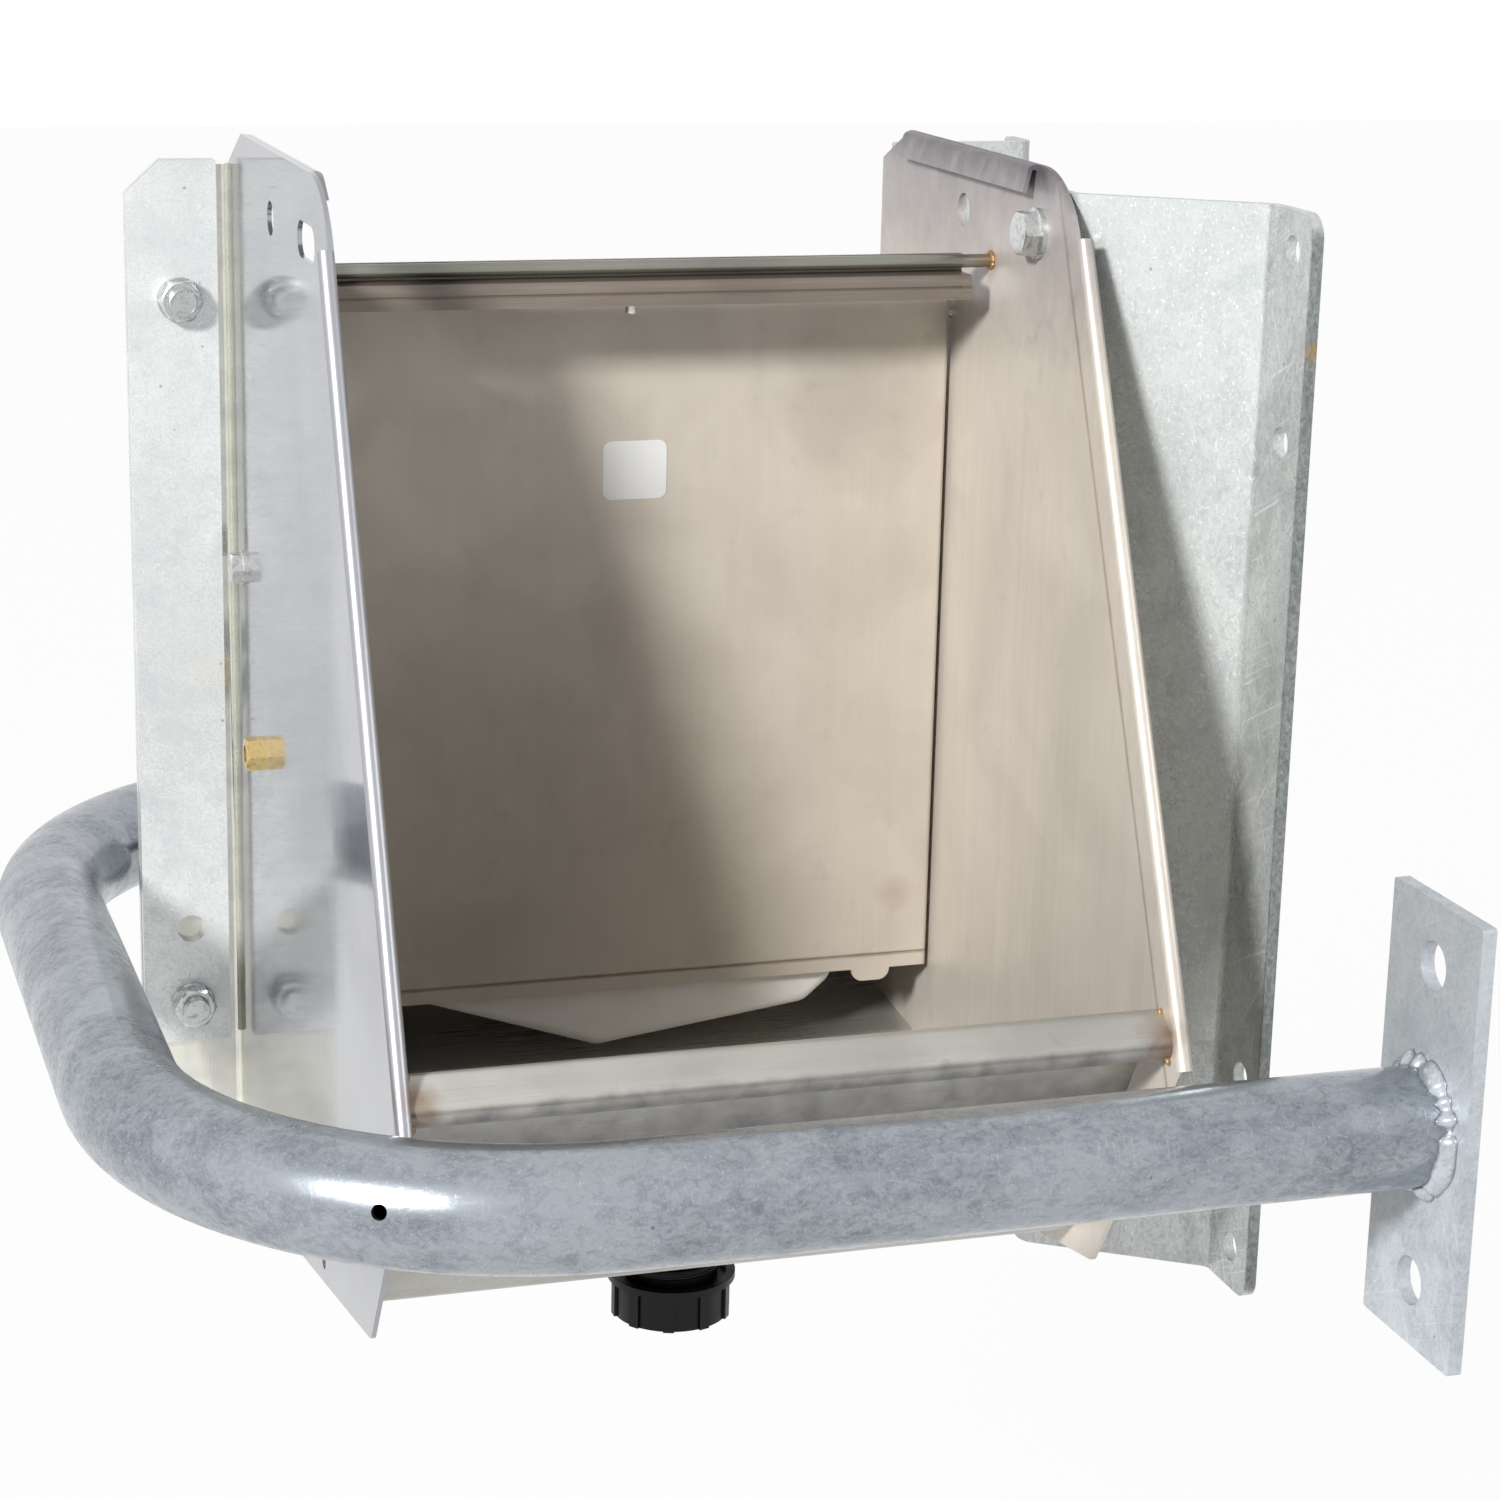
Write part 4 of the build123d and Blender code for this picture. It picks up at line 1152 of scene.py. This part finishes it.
@dataclass
class StripWashers:
    """Plain washers at the foot of the nuts on the clamp strip.

    Attributes:
        spots: Their centres on the strip's face, in millimetres.
        radii: Outer and inner radius.
        thick: Thickness.
        edge: Chamfer of the outer edge.
        steps: Steps round each washer.
    """

    spots: tuple[Triple, ...] = ((-420.0, 295.0, -353.0), (-420.0, 295.0, -12.0))
    radii: tuple[float, float] = (10.3, 6.4)
    thick: float = 2.5
    edge: float = 0.4
    steps: int = 64

    def turn(self) -> None:
        """Turn both washers."""
        outer, inner = self.radii
        section = (
            (inner, 0.0),
            (outer, 0.0),
            (outer, self.thick - self.edge),
            (outer - self.edge, self.thick),
            (inner, self.thick),
        )
        mesh = bmesh.new()
        for spot in self.spots:
            place = around(Vector(spot) * MM, Vector(TO_FRONT))
            rows = []
            for step in range(self.steps):
                angle = 2 * math.pi * step / self.steps
                rows.append([place @ polar(r * MM, angle, z * MM) for r, z in section])
            stitch(mesh, rows, ring=True)
        zinc = TurnedMetal("Bright zinc plating, washers", "#C6C8C7", "#7C7F7D", roughness=0.22)
        washer = piece_from("strip_washers", mesh, zinc, "trough")
        for polygon in washer.data.polygons:
            polygon.use_smooth = False


@dataclass(frozen=True)
class Lamp:
    """One square soft lamp.

    Attributes:
        name: Name of the lamp.
        place: Position in metres.
        size: Side of the lamp in metres.
        watts: Its power.
    """

    name: str
    place: Triple
    size: float
    watts: float

    def hang(self, aim: Triple) -> None:
        """Add the lamp to the scene.

        Args:
            aim: Point that it faces, in metres.
        """
        data = bpy.data.lights.new(self.name, "AREA")
        data.shape = "SQUARE"
        data.size = self.size
        data.energy = self.watts
        lamp = bpy.data.objects.new(self.name, data)
        lamp.location = self.place
        towards = Vector(aim) - Vector(self.place)
        lamp.rotation_euler = towards.to_track_quat("-Z", "Y").to_euler()
        bpy.context.scene.collection.objects.link(lamp)


@dataclass
class Studio:
    """Pale floor, soft lamps, surroundings and the camera.

    Attributes:
        floor_z: Height of the floor in metres.
        floor_size: Size given to the floor's grid, in metres.
        paper_mm: Size of the mottling in the floor's paper.
        focal_mm: Focal length of the lens.
        sensor_mm: Width of the sensor.
        near: Nearest that it shows, in metres.
        azimuth: Bearing of the view in degrees.
        elevation: How far the view looks down.
        roll: Roll of the camera.
        place: Position of the camera.
        lamps: The lamps, the main one first.
        aim: Point that the lamps face, in metres.
        shade: Colour of the surroundings as a light on matt surfaces.
        glow: Share of the floor that shows as the white background.
    """

    floor_z: float = -1.0
    floor_size: float = 12.0
    paper_mm: float = 30.0
    focal_mm: float = 83.506
    sensor_mm: float = 36.0
    near: float = 0.01
    azimuth: float = 17.89
    elevation: float = 15.17
    roll: float = -1.344
    place: Triple = (-0.6555, -1.3030, 0.2121)
    lamps: tuple[Lamp, ...] = (
        Lamp("Key", (-2.23, -1.69, 1.16), size=0.4, watts=125),
        Lamp("Fill", (2.0, -1.6, 0.7), size=0.9, watts=14),
    )
    aim: Triple = (-0.24, 0.1, -0.2)
    shade: str = "#585A5E"
    glow: float = 0.97

    def camera(self) -> None:
        """Place the camera from its bearing, elevation and roll."""
        az, el, ro = (math.radians(a) for a in (self.azimuth, self.elevation, self.roll))
        look = Vector((math.sin(az) * math.cos(el), math.cos(az) * math.cos(el), -math.sin(el)))
        right = Vector((math.cos(az), -math.sin(az), 0))
        down = look.cross(right)
        right_rolled = math.cos(ro) * right + math.sin(ro) * down
        down_rolled = -math.sin(ro) * right + math.cos(ro) * down
        data = bpy.data.cameras.new("Camera")
        data.lens = self.focal_mm
        data.sensor_width = self.sensor_mm
        data.clip_start = self.near
        camera = bpy.data.objects.new("Camera", data)
        turn = Matrix((right_rolled, -down_rolled, -look)).transposed()
        camera.matrix_world = Matrix.Translation(self.place) @ turn.to_4x4()
        bpy.context.scene.collection.objects.link(camera)
        bpy.context.scene.camera = camera

    def seen(self, tree: bpy.types.NodeTree) -> bpy.types.NodeSocket:
        """Tell rays that show the background from rays that light matt surfaces.

        Args:
            tree: Node tree to add to.

        Returns:
            1 for camera, glossy and transmission rays, else 0.
        """
        path = put(tree, "ShaderNodeLightPath").outputs
        shiny = maths(tree, "MAXIMUM", path["Is Camera Ray"], path["Is Glossy Ray"])
        return maths(tree, "MAXIMUM", shiny, path["Is Transmission Ray"])

    def surroundings(self) -> None:
        """Give the surroundings an even light that shows white in metal."""
        world = bpy.data.worlds.new("Studio")
        world.use_nodes = True
        tree = world.node_tree
        tree.nodes.clear()
        colour = mix(tree, self.seen(tree), linear(self.shade), (*PLAIN, 1.0))
        back = put(tree, "ShaderNodeBackground", {"Color": colour})
        put(tree, "ShaderNodeOutputWorld", {"Surface": back.outputs[0]})
        bpy.context.scene.world = world

    def floor(self) -> None:
        """Lay a pale floor that keeps a soft shadow."""
        mesh = bmesh.new()
        bmesh.ops.create_grid(mesh, x_segments=1, y_segments=1, size=self.floor_size)
        data = bpy.data.meshes.new("floor")
        mesh.to_mesh(data)
        mesh.free()
        material, tree, coords = new_tree("Matt paper floor")
        paper = grain(tree, coords, self.paper_mm, 3.0)
        tint = mix(tree, spread(tree, paper, 0.3, 0.7), linear("#F6F6F6"), linear("#FBFBFB"))
        matt = put(tree, "ShaderNodeBsdfDiffuse", {"Color": tint})
        glow = put(tree, "ShaderNodeEmission")
        share = maths(tree, "MULTIPLY", self.seen(tree), self.glow)
        both = put(tree, "ShaderNodeMixShader", {0: share, 1: matt.outputs[0], 2: glow.outputs[0]})
        put(tree, "ShaderNodeOutputMaterial", {"Surface": both.outputs[0]})
        data.materials.append(material)
        floor = bpy.data.objects.new("floor", data)
        floor.location = (0, 0, self.floor_z)
        bpy.context.scene.collection.objects.link(floor)

    def build(self) -> None:
        """Set up the camera, the lamps, the world and the floor."""
        self.camera()
        for lamp in self.lamps:
            lamp.hang(self.aim)
        self.surroundings()
        self.floor()
        bpy.context.scene.view_settings.view_transform = "Standard"
        LOG.info("studio ready")


def main() -> None:
    """Set up the studio, then build and dress the trough."""
    logging.basicConfig(level=logging.INFO, format="%(name)s %(message)s")
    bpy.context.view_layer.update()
    Studio().build()
    SidePanels().dress()
    basin = Basin()
    basin.dress()
    basin.weld()
    cover = Cover()
    cover.dress()
    cover.stick_label()
    Valve().dress()
    drain = Drain()
    drain.dress()
    drain.cut_thread()
    zinc = Galvanised()
    zinc.dress()
    zinc.dress_fasteners()
    zinc.weld()
    BoltThreads().wind()
    StripWashers().turn()


if __name__ == "__main__":
    main()
